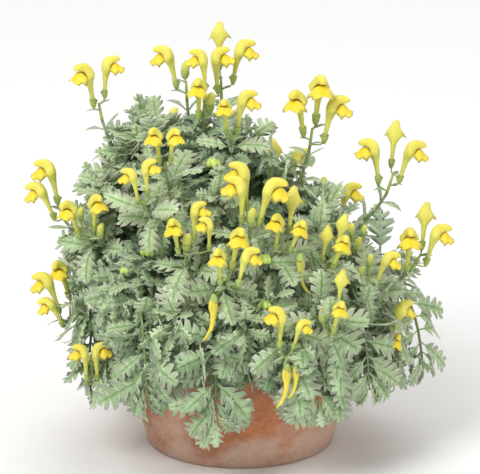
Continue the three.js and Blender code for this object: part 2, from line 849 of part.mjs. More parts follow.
// Rings of the corolla: front and back as [forward, height], and the half width at each
const COROLLA = [
  { front: [2.0, 4.2], back: [-1.8, 4.8], width: [2.0, 2.0] },
  { front: [1.2, 4.8], back: [-1.0, 5.2], width: [1.15, 1.15] },
  { front: [3.0, 15.0], back: [-1.3, 16.0], width: [2.1, 1.6] },
  { front: [3.3, 18.6], back: [-1.4, 20.0], width: [3.7, 2.2] },
  { front: [3.8, 21.4], back: [0.6, 24.6], width: [2.0, 1.3] },
];
const HOOD_TIP = [8.8, 22.8];
const LIP_BAND = 3;
const LIP_SHAPE = [{ at: [0, 0] }, { at: [5.6, 2.6], lobe: [5.0, 5.4] }];

// A flower seen from its stem: rings and tip of the corolla, and the lip that grows from its front
function planFlower(flower, seat) {
  const [x, y, z, facing, lean, size] = flower;
  const calyx = seat.clone().add(vec(x, y, z));
  const turn = rad(facing);
  const look = vec(Math.sin(turn), -Math.cos(turn), 0);
  const axis = vec(Math.sin(rad(lean)), -0.12 * Math.cos(turn), Math.cos(rad(lean))).normalize();
  const side = axis.clone().cross(look).normalize();
  const front = side.clone().cross(axis).normalize();
  const at = (f, h, s) => calyx.clone()
    .addScaledVector(front, f * size)
    .addScaledVector(axis, h * size)
    .addScaledVector(side, s * size);
  const rings = COROLLA.map(({ front: f, back: b, width: w }) =>
    [at(...f, -w[0]), at(...f, w[0]), at(...b, w[1]), at(...b, -w[1])]);
  const [low, high] = [COROLLA[LIP_BAND - 1].front, COROLLA[LIP_BAND].front];
  const root = [(low[0] + high[0]) / 2, (low[1] + high[1]) / 2 + LIP.raise];
  const lipPoint = (a, b, thick) => {
    const drop = LIP.droop * a * a + LIP.sideDroop * b * b;
    return at(root[0] + a, root[1] - drop + (thick * LIP.thickness) / 2, b);
  };
  const grow = (shell, base) => {
    const lip = { band: LIP_BAND, side: 0 };
    lip.grow = (open) => shell.blade(LIP_SHAPE, LIP.length, lipPoint, open);
    const closed = base ? rings : [squareRing(calyx, axis, side, RACHIS.pedicelHalf), ...rings];
    shell.loft(base, closed, [lip], at(...HOOD_TIP, 0));
  };
  return { calyx, grow };
}

function planBud(bud, seat) {
  const [x, y, z, size, hangs] = bud;
  const calyx = seat.clone().add(vec(x, y, z));
  const axis = vec(0.06 * x, 0.06 * y, hangs ? -1 : 1).normalize();
  const across = vec(-y, x || 1, 0).normalize();
  const length = BUD.length * size;
  const half = BUD.half * Math.sqrt(size);
  const grow = (shell, base) => {
    const rings = [squareRing(calyx.clone().addScaledVector(axis, 0.5 * length), axis, across, half)];
    if (!base) {
      rings.unshift(squareRing(calyx, axis, across, RACHIS.pedicelHalf));
    }
    shell.loft(base, rings, [], calyx.clone().addScaledVector(axis, length));
  };
  return { calyx, grow };
}

// The rachis has two nodes of four sides. Each flower and bud grows from the free side that
// faces it best.
function planHead(shoot) {
  const { flowers, buds } = HEADS[shoot.head];
  const tipDirection = shoot.curve.getTangentAt(1);
  const along = tipDirection.clone().addScaledVector(UP, RACHIS.upturn).normalize();
  const seat = vec(...shoot.tip).addScaledVector(tipDirection, STEM.seatGap);
  const pieces = [
    ...flowers.map((flower) => planFlower(flower, seat)),
    ...buds.map((bud) => planBud(bud, seat)),
  ];
  const heights = pieces.map(({ calyx }) => calyx.clone().sub(seat).dot(along) - RACHIS.pedicelDrop);
  const top = THREE.MathUtils.clamp(Math.max(...heights) + 1, 2 * RACHIS.node + 1, RACHIS.longest);
  const marks = [0, RACHIS.node, top - RACHIS.node, top];
  const rings = marks.map((mark) => {
    const half = THREE.MathUtils.lerp(RACHIS.half, RACHIS.topHalf, mark / top);
    const centre = seat.clone().addScaledVector(along, mark);
    return squareRing(centre, mark ? along : tipDirection, shoot.across, half);
  });
  const normals = sideNormals(along, shoot.across);
  const free = [0, 2].flatMap((band) => normals.map((normal, side) => {
    const middle = band ? top - RACHIS.node / 2 : RACHIS.node / 2;
    return { band, side, normal, centre: seat.clone().addScaledVector(along, middle) };
  }));
  const fit = (calyx, { normal, centre }) => {
    const way = calyx.clone().sub(centre);
    return normal.dot(way.clone().normalize()) - RACHIS.levelPull * Math.abs(way.dot(along) - 2);
  };
  const seats = pieces.map(({ calyx, grow }) => {
    const best = free.reduce((found, spot) => (fit(calyx, spot) > fit(calyx, found) ? spot : found));
    free.splice(free.indexOf(best), 1);
    return { ...best, grow };
  });
  return { rings, seats };
}

// A flower or bud as a solid of its own, that starts the given way off its side of the rachis
function loosePiece(rings, { band, side, normal, grow }, offset) {
  const next = (side + 1) % 4;
  const corners = [rings[band][side], rings[band][next], rings[band + 1][next], rings[band + 1][side]];
  const shell = new Shell();
  const base = corners.map((v) => shell.point(v.clone().addScaledVector(normal, offset)));
  shell.quad(...[...base].reverse());
  grow(shell, base);
  return shell.solid();
}

// Pieces grow from the rachis. One that would cross the rachis or another piece is joined on.
function makeHead(shoot) {
  const { rings, seats } = planHead(shoot);
  const bare = new Shell();
  bare.loft(null, rings);
  const clear = [bare.solid()];
  const [grown, joined] = [[], []];
  seats.forEach((piece) => {
    const loose = loosePiece(rings, piece, RACHIS.skin);
    if (clear.some((other) => !loose.intersect(other).isEmpty())) {
      joined.push(loosePiece(rings, piece, -RACHIS.sunk));
    } else {
      clear.push(loose);
      grown.push(piece);
    }
  });
  const shell = new Shell();
  shell.loft(null, rings, grown.map(({ band, side, grow }) =>
    ({ band, side, grow: (open) => grow(shell, open) })));
  return joined.length ? join([shell.solid(), ...joined]) : shell.solid();
}

// The plant in its pan

const draw = makeDraw(7);
const pan = makePan();
const soil = makeSoil();
const stems = STEMS.map((stem) => planStem(stem, draw));
const shoots = stems.flat();
const heads = shoots.filter(({ head }) => head).map((shoot) => [shoot.head, makeHead(shoot)]);

const placed = [pan, soil, ...shoots.map(bareSolid), ...heads.map(([, head]) => head)].map(boxed);
shoots.forEach((shoot) => fitLeaves(shoot, placed, draw));

const group = new THREE.Group();
group.add(meshOf('clay_pan', pan, CLAY));
group.add(meshOf('soil', soil, EARTH));
stems.forEach((stem, i) => {
  group.add(meshOf(`leafy_stem_${String(i + 1).padStart(2, '0')}`, makeStem(stem), FOLIAGE));
});
heads.forEach(([name, head]) => group.add(meshOf(`flowers_${name}`, head, PETALS)));

export default group;
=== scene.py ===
"""A yellow skullcap in a shallow clay pan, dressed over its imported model.

Metres, +Z up. The origin is the centre of the pan's flat underside, and the viewer stands at -Y.
"""

import math
import random

import bmesh
import bpy
from bpy.props import FloatProperty, FloatVectorProperty, IntProperty, PointerProperty
from mathutils import Matrix, Vector, noise


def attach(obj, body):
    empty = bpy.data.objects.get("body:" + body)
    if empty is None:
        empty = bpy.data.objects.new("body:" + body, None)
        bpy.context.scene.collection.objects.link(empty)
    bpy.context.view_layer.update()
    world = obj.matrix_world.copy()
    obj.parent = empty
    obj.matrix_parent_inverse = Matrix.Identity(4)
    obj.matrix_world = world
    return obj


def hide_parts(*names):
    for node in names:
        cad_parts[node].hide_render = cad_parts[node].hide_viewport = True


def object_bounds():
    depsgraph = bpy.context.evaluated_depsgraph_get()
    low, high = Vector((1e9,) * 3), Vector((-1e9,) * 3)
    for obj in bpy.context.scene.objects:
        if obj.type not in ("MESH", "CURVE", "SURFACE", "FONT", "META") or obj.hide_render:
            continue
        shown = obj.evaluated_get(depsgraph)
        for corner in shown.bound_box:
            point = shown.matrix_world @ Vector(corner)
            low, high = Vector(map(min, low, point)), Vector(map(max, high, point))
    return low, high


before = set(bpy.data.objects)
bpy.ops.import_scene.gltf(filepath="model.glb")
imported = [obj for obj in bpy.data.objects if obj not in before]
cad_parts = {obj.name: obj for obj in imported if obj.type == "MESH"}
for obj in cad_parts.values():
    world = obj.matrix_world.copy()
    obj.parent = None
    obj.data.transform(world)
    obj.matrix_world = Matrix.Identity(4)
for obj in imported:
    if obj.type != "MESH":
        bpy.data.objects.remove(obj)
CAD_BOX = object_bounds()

bl_info = {
    "name": "Potted Skullcap",
    "version": (1, 0, 0),
    "blender": (4, 5, 0),
    "location": "View3D > Sidebar > Skullcap",
    "description": "Builds a yellow skullcap with lobed leaves in a clay pan",
    "category": "Add Mesh",
}

MM = 0.001
UP = Vector((0, 0, 1))

# Flower heads. A flower is x, y, z of its calyx from the stem's tip in millimetres, facing, lean and
# size: facing 0 looks at the viewer, 90 to the right, 180 away. A bud is x, y, z, size, and whether it
# hangs withered.
HEADS = {
    "left_top": ([(-4.4, -2, 8, -55, -6, 1.07), (1.5, 1, 12.5, 90, 0, 0.95)], []),
    "top_left": ([(-5.5, 0, 7, -92, -10, 1.02)], [(-1, 0, 13, 1.5)]),
    "top_middle": ([(1, 6, 17, -90, 0, 0.95), (-2.5, -3, 4, -8, 1, 1.02)], [(3.4, -1, 7, 1.7)]),
    "top_crown": ([(-1, 5, 17, 172, -2, 1.02), (-2, -3, 5.5, 90, -7, 1.04), (6, 1, 10, 92, 8, 1.04)], []),
    "top_right": ([(-2.4, -3, 4.5, -4, -3, 0.88), (3.4, 0, 3.5, 88, 5, 1.02)], []),
    "upper_left": ([(-2.9, -2, 3.8, -22, -6, 0.92), (2.8, -2, 4.2, 28, 3, 0.88)], []),
    "tall_right": ([(-3.4, -3, 7, -25, -7, 1.16), (3, 1, 12.5, 12, 4, 1.24), (7.5, -3, 3, 85, 9, 1.13)],
        []),
    "far_right": ([(-4.4, -1, 6, -80, -4, 1.07), (2.5, 4, 14, 170, 5, 1.02), (6.6, -1, 6.4, 90, 14, 1.05)],
        []),
    "far_left": ([(-5, -3, 0.8, -88, -20, 0.99), (-3.5, 3, 8, -88, -8, 1.07)], []),
    "left_shoulder": ([(-5, -4, 2, -36, -12, 0.97), (3.4, 1, 3.4, 30, -1, 0.97)],
        [(-4.5, 5, 9, 1.2), (6.5, -4, 2, 1.3)]),
    "left_front": ([(-3.3, -2, 2.3, -90, -6, 0.81), (2, 1, 5, 84, -8, 0.84)], []),
    "centre_left": ([(-3.5, -3, 2.3, -6, -9, 0.91), (5, 4.5, 7.5, 96, -4, 0.86), (12.5, -5, 5, -72, 4, 0.77)],
        [(0.5, -4.5, 4.5, 1.5)]),
    "centre": ([(-4, -3, 4.7, -86, 2, 1.07), (-1.5, 7.5, 9, -100, 0, 1.07), (5, -3, 3.4, 72, 12, 1.18)],
        [(1, -5, 5, 1.4)]),
    "centre_low": ([(-2.5, -4, 3, -12, -2, 0.91), (3.5, 7, 8, 8, 10, 1.07), (7, -6.5, 3, 92, 10, 0.91)],
                   [(-6, -6, -2, 1.8, "withered")]),
    "centre_right": ([(3, 4, 9, 176, 6, 1.02), (-3.8, -2, 2, -24, 4, 0.91), (3.6, -4, 1.5, 6, 20, 0.86)],
                     [(9, -6, 1, 1.6, "fading")]),
    "right_front": ([(-2, 4, 3, 176, 10, 0.8), (3.4, -4, 2, 2, 20, 0.91), (6, 4, 9, 158, 10, 0.82)], []),
    "bud_head": ([],
        [(-4, -2, 2, 1.3), (2.5, -4, 2.5, 1.3), (-1, 5, 6, 1.2), (-1, -3, 11, 1.1), (6, 0, 10, 1)]),
    "right_low": ([(4, -1, 15, 172, 7, 0.82), (1.6, -4, 2, 8, 12, 0.84)], [(-4.5, -3, 8, 1.2)]),
    "right_shoulder": ([(-1, -3, 2, 4, 2, 1.13), (7, 2, 13, 170, 5, 1.02), (9, -2, 5, 90, 13, 1.02)], []),
    "right_inner": ([(4, -2, 2, 88, 18, 0.88)], [(1, -2, 13, 1.1), (-3.5, -2, 6, 1.1)]),
    "right_skirt": ([(4, 1, 12, 125, 14, 0.97), (-0.5, -3, 1.5, 10, 24, 0.82)], [(-3, 2, 10, 1.2)]),
    "left_skirt": ([(-6, -3, 6.5, -90, -16, 1.02), (-4, -8, 0, -74, -24, 0.82), (-1, 10, 10, -20, -14, 1.03)],
        []),
    "left_low": ([(-3, -3, 2.4, -88, 0, 0.86), (3, -2, 2.4, 88, -6, 0.88)], [(0, 1, 10, 1.2)]),
    "front_low": ([(-3.2, -2, 6, -70, 6, 0.97), (4.2, -1, 5, 82, 12, 0.73)],
        [(1, -5, -2, 1.7, "withered"), (6, -3, -2, 1.4, "withered")]),
    "back_left": ([(-3.6, 2, 6, -120, -6, 1.07), (3.4, 4, 8, 165, 6, 1.02)], []),
    "back_middle": ([(-3.4, 3, 5, 200, -6, 0.97), (4, 2, 9, 120, 4, 1.07)], []),
    "back_right": ([(-3.6, 3, 7, 190, -4, 1.02), (4, 1, 5, 95, 8, 0.97)], []),
    "back_far_right": ([(-2.6, 3, 7, 175, -4, 0.97), (4.4, 1, 6, 90, 10, 1.02)], []),
    "back_low_left": ([(-4, 3, 4, 220, -10, 0.97), (3.4, 4, 5, 160, 4, 0.92)], []),
    "back_low_right": ([(-3.4, 4, 5, 190, -4, 0.92), (4, 3, 4, 150, 6, 0.91)], []),
}
STEMS = [
    ((-36, 2), [
        dict(tip=(-75, -5, 185), head="left_top", bare=True),
        dict(tip=(-62, 12, 164), branches_at=0.5),
    ]),
    ((-19, 12), [
        dict(tip=(-29, 12, 191), head="top_left", bare=True),
        dict(tip=(-20, -9, 184), head="top_middle", branches_at=0.55),
    ]),
    ((-3, 8), [
        dict(tip=(-10, 14, 190), head="top_crown"),
        dict(tip=(-5, -26, 180), head="top_right", branches_at=0.55),
    ]),
    ((-24, -20), [
        dict(tip=(-40, -48, 170), head="upper_left"),
        dict(tip=(-51, -68, 156), head="left_front", branches_at=0.5),
    ]),
    ((14, 0), [
        dict(tip=(38, -8, 171), head="tall_right", bare=True),
        dict(tip=(22, 10, 156), branches_at=0.45),
    ]),
    ((36, 4), [
        dict(tip=(80, -5, 143), head="far_right", bare=True),
        dict(tip=(50, 4, 139), branches_at=0.45),
    ]),
    ((-50, -8), [
        dict(tip=(-96, -8, 129), head="far_left", bare=True),
        dict(tip=(-82, -36, 127), head="left_shoulder", branches_at=0.5),
    ]),
    ((-12, -40), [
        dict(tip=(-29, -78, 131), head="centre_left"),
        dict(tip=(-8, -88, 117), head="centre_low", branches_at=0.45),
    ]),
    ((6, -30), [
        dict(tip=(5, -70, 143), head="centre"),
        dict(tip=(23, -68, 130), head="centre_right", branches_at=0.5),
    ]),
    ((30, -30), [
        dict(tip=(46, -62, 118), head="right_front"),
        dict(tip=(61, -34, 118), head="bud_head", branches_at=0.5),
    ]),
    ((50, -18), [
        dict(tip=(92, -22, 103), head="right_shoulder", bare=True),
        dict(tip=(69, -48, 103), head="right_inner", branches_at=0.4),
    ]),
    ((10, -56), [
        dict(tip=(24, -94, 80), head="front_low", habit="spreading"),
        dict(tip=(2, -93, 92), branches_at=0.16, habit="spreading"),
    ]),
    ((50, -38), [
        dict(tip=(78, -40, 58), head="right_skirt", habit="upturned"),
        dict(tip=(70, -68, 52), branches_at=0.4, habit="hanging"),
    ]),
    ((-56, -22), [
        dict(tip=(-92, -28, 77), head="left_skirt", habit="upturned"),
        dict(tip=(-66, -62, 98), branches_at=0.4),
    ]),
    ((-42, -42), [
        dict(tip=(-80, -52, 50), head="left_low", habit="upturned"),
        dict(tip=(-50, -84, 50), branches_at=0.5, habit="hanging"),
    ]),
    ((-18, -56), [
        dict(tip=(-13, -94, 42), habit="hanging"),
        dict(tip=(-36, -86, 92), branches_at=0.14, habit="spreading"),
    ]),
    ((30, -50), [
        dict(tip=(42, -88, 48), habit="hanging"),
        dict(tip=(48, -85, 90), head="right_low", branches_at=0.14, habit="spreading"),
    ]),
    ((-32, 20), [
        dict(tip=(-46, 12, 174)),
        dict(tip=(-50, -22, 166), branches_at=0.5),
    ]),
    ((-4, -12), [
        dict(tip=(4, -4, 170)),
        dict(tip=(-14, -54, 158), branches_at=0.5),
    ]),
    ((48, 14), [
        dict(tip=(74, 8, 96)),
        dict(tip=(40, -34, 134), branches_at=0.5),
    ]),
    ((-46, 16), [
        dict(tip=(-82, 14, 146)),
        dict(tip=(-74, -24, 148), branches_at=0.5),
    ]),
    ((-58, 8), [
        dict(tip=(-90, 10, 56), habit="hanging"),
        dict(tip=(-90, 20, 98), branches_at=0.14, habit="spreading"),
    ]),
    ((57, 0), [
        dict(tip=(86, -4, 54), habit="hanging"),
        dict(tip=(80, 34, 56), branches_at=0.5, habit="hanging"),
    ]),
    ((-36, 38), [
        dict(tip=(-44, 77, 132), head="back_left"),
        dict(tip=(-60, 72, 112), head="back_low_left", branches_at=0.45),
    ]),
    ((-10, 32), [
        dict(tip=(-14, 76, 130), head="back_middle"),
        dict(tip=(-18, 82, 132), branches_at=0.45),
    ]),
    ((16, 34), [
        dict(tip=(24, 58, 121), head="back_right"),
        dict(tip=(22, 84, 112), head="back_low_right", branches_at=0.45),
    ]),
    ((38, 30), [
        dict(tip=(51, 62, 98), head="back_far_right"),
        dict(tip=(58, 72, 92), branches_at=0.45),
    ]),
    ((0, 58), [
        dict(tip=(2, 92, 54), habit="hanging"),
        dict(tip=(48, 80, 54), branches_at=0.42, habit="hanging"),
        dict(tip=(-50, 80, 54), branches_at=0.42, habit="hanging"),
    ]),
]

# Habits of the trailing shoots: the height they first climb towards, then how far inward and above
# their tip they come down. An upright shoot takes shares of its own rise and reach.
HABITS = {"spreading": (104, 13, 12), "hanging": (112, 8, 58), "upturned": (142, 8, 3)}
UPRIGHT_CLIMB, UPRIGHT_INWARD, UPRIGHT_BELOW = 0.4, 0.3, 0.35
BRANCH_SPREAD = 7
SOIL_LEVEL = 73.5
STEM_FOOT = 11
# Half widths of a stem at its root, at a tip that carries a head and at a leafy tip
ROOT_HALF, TIP_HALF, LEAFY_TIP_HALF = 1.15, 0.8, 0.4
# Sizes of the youngest leaf pairs, as shares of a full leaf, on hanging shoots and on upright ones
ROSETTE_SIZES, TIP_SIZES = (0.75, 0.95, 1.08), (0.6, 0.78, 0.92)
SHOOT_NODES, SHOOT_RINGS = 16, 14
BARE_NODES, BARE_STEP = 4, 0.0075

# Half widths of a leaf from its base to its tip: share of the length, share of the half width, and
# how far the margin is swept forward
LEAF_ROWS = (
    (0.0, 0.07, 0.0), (0.15, 0.09, 0.0),
    (0.22, 0.64, 0.10), (0.29, 0.74, 0.12), (0.36, 0.23, 0.02),
    (0.41, 0.86, 0.11), (0.495, 0.96, 0.13), (0.56, 0.27, 0.02),
    (0.605, 0.98, 0.11), (0.69, 1.0, 0.13), (0.75, 0.27, 0.02),
    (0.79, 0.78, 0.10), (0.86, 0.74, 0.11), (0.895, 0.25, 0.01),
    (0.955, 0.31, 0.02), (1.0, 0.13, 0.0),
)
SMALL_LEAF_ROWS = (
    (0.0, 0.10, 0.0), (0.16, 0.14, 0.0), (0.27, 0.72, 0.10), (0.38, 0.34, 0.02),
    (0.47, 0.98, 0.12), (0.60, 0.36, 0.02), (0.68, 0.86, 0.12), (0.82, 0.34, 0.02),
    (0.93, 0.34, 0.02), (1.0, 0.12, 0.0),
)
BRACT_ROWS = (
    (0.0, 0.2, 0.0), (0.2, 0.72, 0.0), (0.45, 1.0, 0.0), (0.72, 0.72, 0.0), (0.9, 0.34, 0.0),
    (1.0, 0.06, 0.0),
)

FLOWER_HEIGHT = 25
# Rings of the corolla: forward and height of the centre, half depth, half width and tilt
COROLLA = (
    (0.0, 1.2, 0.8, 0.8, 0), (0.1, 4.0, 1.0, 1.0, 3), (0.25, 7.0, 1.15, 1.15, 4),
    (0.4, 10.0, 1.35, 1.3, 5), (0.55, 12.6, 1.75, 1.65, 6), (0.8, 14.8, 2.3, 2.7, 6),
    (1.05, 16.6, 2.9, 4.1, 8), (1.15, 18.2, 2.9, 4.8, 12), (1.2, 19.7, 2.7, 4.1, 20),
    (1.7, 21.1, 2.6, 3.2, 34), (2.6, 22.2, 2.5, 2.6, 50), (3.9, 22.9, 2.2, 2.15, 66),
    (5.4, 23.3, 1.9, 1.95, 80), (7.0, 23.3, 1.6, 1.7, 92), (8.3, 23.0, 1.15, 1.25, 100),
    (9.0, 22.8, 0.45, 0.5, 104),
)
HOLLOW_RINGS = {7: 0.3, 8: 0.8, 9: 1.0, 10: 1.0, 11: 1.0, 12: 1.0, 13: 0.8, 14: 0.4}
LIP_ROWS = (
    (0.0, 2.8), (1.1, 3.7), (2.2, 5.0), (3.3, 6.1), (4.4, 6.6), (5.4, 5.6), (6.3, 4.8), (7.4, 4.9),
    (8.5, 4.2), (9.3, 2.5),
)

# Half widths and half depths of the mound by height, in millimetres
RIGHT_REACH = (
    (30, 94), (40, 112), (54, 112), (62, 92), (86, 82), (104, 73), (118, 64), (132, 57), (145, 48),
    (155, 40), (167, 23), (178, 17), (190, 12), (205, 5),
)
LEFT_REACH = (
    (30, 90), (62, 91), (76, 94), (101, 99), (120, 101), (151, 93), (170, 85), (188, 66), (197, 52),
    (206, 40),
)
DEPTH_REACH = (
    (30, 112), (86, 106), (120, 94), (150, 76), (175, 56), (195, 38), (206, 24),
)


# How far the leaves of leafy side sprays reach, in millimetres; each grows from the nearest shoot
SPRAYS = (
    (-50, -5, 191), (-37, 5, 186), (-58, -10, 184), (-66, -5, 178), (-30, -8, 186), (-20, -12, 180),
    (6, -5, 187), (14, -10, 178), (24, -12, 166), (-77, -10, 168), (-84, -14, 155), (-90, -15, 137),
    (-95, -10, 121), (-95, -10, 105), (-91, -20, 88), (-86, -25, 71), (-88, -34, 58), (-84, -42, 46),
    (-72, -56, 48), (44, 0, 157), (52, -5, 152), (57, -10, 142), (60, -20, 134), (72, -5, 110),
    (80, -10, 92), (84, -16, 75), (106, -26, 50), (90, -32, 50), (76, -50, 56), (64, -62, 58),
    (-61, -64, 62), (-47, -76, 66), (-33, -84, 70), (-19, -88, 70), (-5, -90, 72), (8, -90, 70),
    (23, -88, 66), (36, -82, 62), (50, -75, 62), (-50, -82, 52), (-14, -99, 50), (30, -90, 50),
    (54, -80, 50),
    (70, 62, 64), (84, 40, 62), (88, 8, 68), (-84, 30, 62), (-72, 58, 60), (-45, 78, 64), (-16, 90, 62),
    (18, 90, 64), (48, 80, 60), (-40, 46, 160), (-14, 48, 166), (8, 42, 154), (28, 38, 134),
    (46, 34, 116), (-66, 42, 146), (20, 62, 128), (-30, 62, 148), (-62, 58, 124), (64, 30, 94),
    (60, 46, 86), (-82, 34, 110), (0, 66, 142), (42, 52, 108), (-70, -8, 177), (-66, 0, 186),
    (-59, 4, 191), (26, 56, 124), (48, 60, 102),
)
# Sprays that end in a knot of young buds
BUD_SPRAYS = (
    (15, -84, 131), (15, -92, 104), (-57, -64, 129), (-70, -54, 113), (-16, -44, 180), (-47, -64, 152),
    (62, -58, 128), (-8, 84, 120), (52, 66, 112), (-60, 58, 118),
)
# How far a spray stops short of its place, the height from which a stem gives off sprays, the height
# below which a tip hangs over the rim, and a spray's usual length, in millimetres
SPRAY_REACH, SPRAY_FROM, SPRAY_HANGS, SPRAY_LENGTH = 12, 79, 86, 24
SPRAY_SIZES = (0.72, 0.88, 1.0, 1.05, 1.0, 0.95, 0.9)
MOUND_MIDDLE = Vector((0, 0, 0.1))

# A leaf that would touch the pan is lifted or lowered, and then made smaller: lift and size
LEAF_WAYS = ((0.0, 1.0), (0.9, 1.0), (-0.9, 1.0), (0.3, 0.66), (-0.6, 0.66), (1.6, 0.5))
# How far leaves may pass the mound's outline, and how much higher the viewer sees what stands behind
OUTLINE_SLACK, RISE_BEHIND = 1.1, 0.3
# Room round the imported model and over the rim, and between a leaf and the pan's wall
BOX_ROOM, RIM_ROOM, WALL_ROOM = 0.004, 0.002, 0.0015

# Half widths of a full leaf, a small leaf, a stem's bract and a head's bract, as shares of the length
LEAF_HALF, SMALL_LEAF_HALF, BRACT_HALF, HEAD_BRACT_HALF = 0.29, 0.31, 0.23, 0.2
LEAF_BENDS, SMALL_LEAF_BENDS, BRACT_BENDS = 14, 10, 4
LEAF_THICKNESS = 0.030

DRAIN_HOLES, DRAIN_CIRCLE, DRAIN_RADIUS, DRAIN_INNER_RADIUS = 3, 0.024, 0.0047, 0.0043
# Lamps: place, power and size
LAMPS = {
    "Key": ((-1.1, -1.5, 1.9), 44, 1.1),
    "Fill": ((1.7, -1.2, 1.0), 10, 1.6),
    "Top": ((0.2, 0.9, 2.2), 18, 1.4),
}
DAYLIGHT = 0.55

CRUMB_SEED = 5
# Buds in a knot, and the turn from each to the next
KNOT_BUDS, KNOT_TURN = 7, 2.4
# A spent flower's size beside an open one's, and the half width of a flower's stalk
HANGING_SIZE, STALK_HALF = 0.75, 0.00045


class PanSettings(bpy.types.PropertyGroup):
    """Sizes and colours of the clay pan"""
    height: FloatProperty(name="Height", description="Height of the pan", default=0.080,
                          min=0.05, max=0.12, unit="LENGTH")
    foot_radius: FloatProperty(name="Foot radius", description="Radius of the flat underside",
                               default=0.052, min=0.03, max=0.07, unit="LENGTH")
    rim_radius: FloatProperty(name="Rim radius", description="Outer radius of the rim",
                              default=0.075, min=0.05, max=0.1, unit="LENGTH")
    rim_height: FloatProperty(name="Rim height", description="Height of the thickened rim",
                              default=0.017, min=0.005, max=0.03, unit="LENGTH")
    rim_step: FloatProperty(name="Rim step", description="How far the rim stands out",
                            default=0.003, min=0.0, max=0.006, unit="LENGTH")
    wall: FloatProperty(name="Wall", description="Thickness of the wall", default=0.0045,
                        min=0.002, max=0.008, unit="LENGTH")
    floor: FloatProperty(name="Floor", description="Thickness of the floor", default=0.008,
                         min=0.003, max=0.012, unit="LENGTH")
    clay: FloatVectorProperty(name="Clay", description="Colour of the fired clay",
                              default=(0.50, 0.20, 0.095), subtype="COLOR", min=0, max=1)
    bloom: FloatVectorProperty(name="Bloom", description="Colour of the lime bloom",
                               default=(0.66, 0.53, 0.44), subtype="COLOR", min=0, max=1)


class SoilSettings(bpy.types.PropertyGroup):
    """Sizes and colours of the soil"""
    level: FloatProperty(name="Level", description="Height of the soil at the pan's wall",
                         default=0.071, min=0.04, max=0.08, unit="LENGTH")
    dome: FloatProperty(name="Dome", description="Rise of the soil towards its middle",
                        default=0.0025, min=0.0, max=0.008, unit="LENGTH")
    crumbs: IntProperty(name="Crumbs", description="Loose crumbs on the surface", default=420,
                        min=0, max=1500)
    dark: FloatVectorProperty(name="Damp soil", description="Colour of damp soil",
                              default=(0.026, 0.017, 0.011), subtype="COLOR", min=0, max=1)
    dry: FloatVectorProperty(name="Dry crumbs", description="Colour of dry crumbs",
                             default=(0.12, 0.082, 0.052), subtype="COLOR", min=0, max=1)


class PlantSettings(bpy.types.PropertyGroup):
    """Sizes and colours of the plant"""
    leaf: FloatProperty(name="Leaf", description="Length of a full leaf", default=0.023,
                        min=0.01, max=0.04, unit="LENGTH")
    small_leaf: FloatProperty(name="Small leaf", description="Length of a leaf in a tuft",
                              default=0.0125, min=0.005, max=0.03, unit="LENGTH")
    seed: IntProperty(name="Seed", description="Start of the random draws", default=11, min=0)
    blade: FloatVectorProperty(name="Blade", description="Colour of the leaf blade",
                               default=(0.335, 0.48, 0.275), subtype="COLOR", min=0, max=1)
    margin: FloatVectorProperty(name="Margin", description="Colour of the leaf's margin",
                                default=(0.84, 0.90, 0.79), subtype="COLOR", min=0, max=1)
    vein: FloatVectorProperty(name="Vein", description="Colour of the midrib's furrow",
                              default=(0.12, 0.20, 0.085), subtype="COLOR", min=0, max=1)
    stem: FloatVectorProperty(name="Stem", description="Colour of the square stems",
                              default=(0.19, 0.25, 0.10), subtype="COLOR", min=0, max=1)
    lemon: FloatVectorProperty(name="Tube", description="Colour of the flower's tube",
                               default=(0.72, 0.70, 0.135), subtype="COLOR", min=0, max=1)
    gold: FloatVectorProperty(name="Lip", description="Colour of the flower's lower lip",
                              default=(0.90, 0.65, 0.012), subtype="COLOR", min=0, max=1)
    green: FloatVectorProperty(name="Calyx", description="Colour of the calyx and young buds",
                               default=(0.33, 0.42, 0.10), subtype="COLOR", min=0, max=1)
    throat: FloatVectorProperty(name="Throat", description="Colour of the mouth of the flower",
                                default=(0.33, 0.085, 0.018), subtype="COLOR", min=0, max=1)


class StageSettings(bpy.types.PropertyGroup):
    """The floor, the lights and the camera"""
    elevation: FloatProperty(name="Elevation", description="The camera's height angle",
                             default=math.radians(18), unit="ROTATION")
    field: FloatProperty(name="Field", description="Width of the view at the plant",
                         default=0.264, min=0.1, max=2, unit="LENGTH")
    distance: FloatProperty(name="Distance", description="From the camera to the plant",
                            default=2.6, min=0.5, max=10, unit="LENGTH")
    aim: FloatProperty(name="Aim", description="Height the camera looks at", default=0.1168,
                       min=0, max=0.3, unit="LENGTH")
    floor: FloatVectorProperty(name="Floor", description="Colour of the floor",
                               default=(0.86, 0.86, 0.85), subtype="COLOR", min=0, max=1)


# Node trees


class Nodes:
    """Shorthand for the node tree of a material or a group"""

    def __init__(self, tree):
        self.tree = tree

    def add(self, kind, **values):
        node = self.tree.nodes.new(kind)
        inputs = values.pop("inputs", {})
        for name, value in values.items():
            setattr(node, name, value)
        for name, value in inputs.items():
            if isinstance(value, bpy.types.NodeSocket):
                self.tree.links.new(value, node.inputs[name])
            else:
                node.inputs[name].default_value = value
        return node

    def math(self, operation, a, b=0.0):
        return self.add("ShaderNodeMath", operation=operation, inputs={0: a, 1: b}).outputs[0]

    def mix(self, share, a, b, blend="MIX"):
        return self.add("ShaderNodeMix", data_type="RGBA", blend_type=blend,
                        inputs={0: share, 6: a, 7: b}).outputs[2]

    def ramp(self, value, low, high):
        return self.add("ShaderNodeMapRange", interpolation_type="SMOOTHSTEP",
                        inputs={"Value": value, "From Min": low, "From Max": high}).outputs[0]

    def noise(self, place, scale, detail=3.0, rough=0.55):
        return self.add("ShaderNodeTexNoise", inputs={
            "Vector": place, "Scale": scale, "Detail": detail, "Roughness": rough}).outputs[0]

    def attribute(self, name):
        return self.add("ShaderNodeAttribute", attribute_name=name).outputs["Fac"]

    def place(self):
        return self.add("ShaderNodeTexCoord").outputs["Object"]


def colour(value):
    return (*value, 1.0)


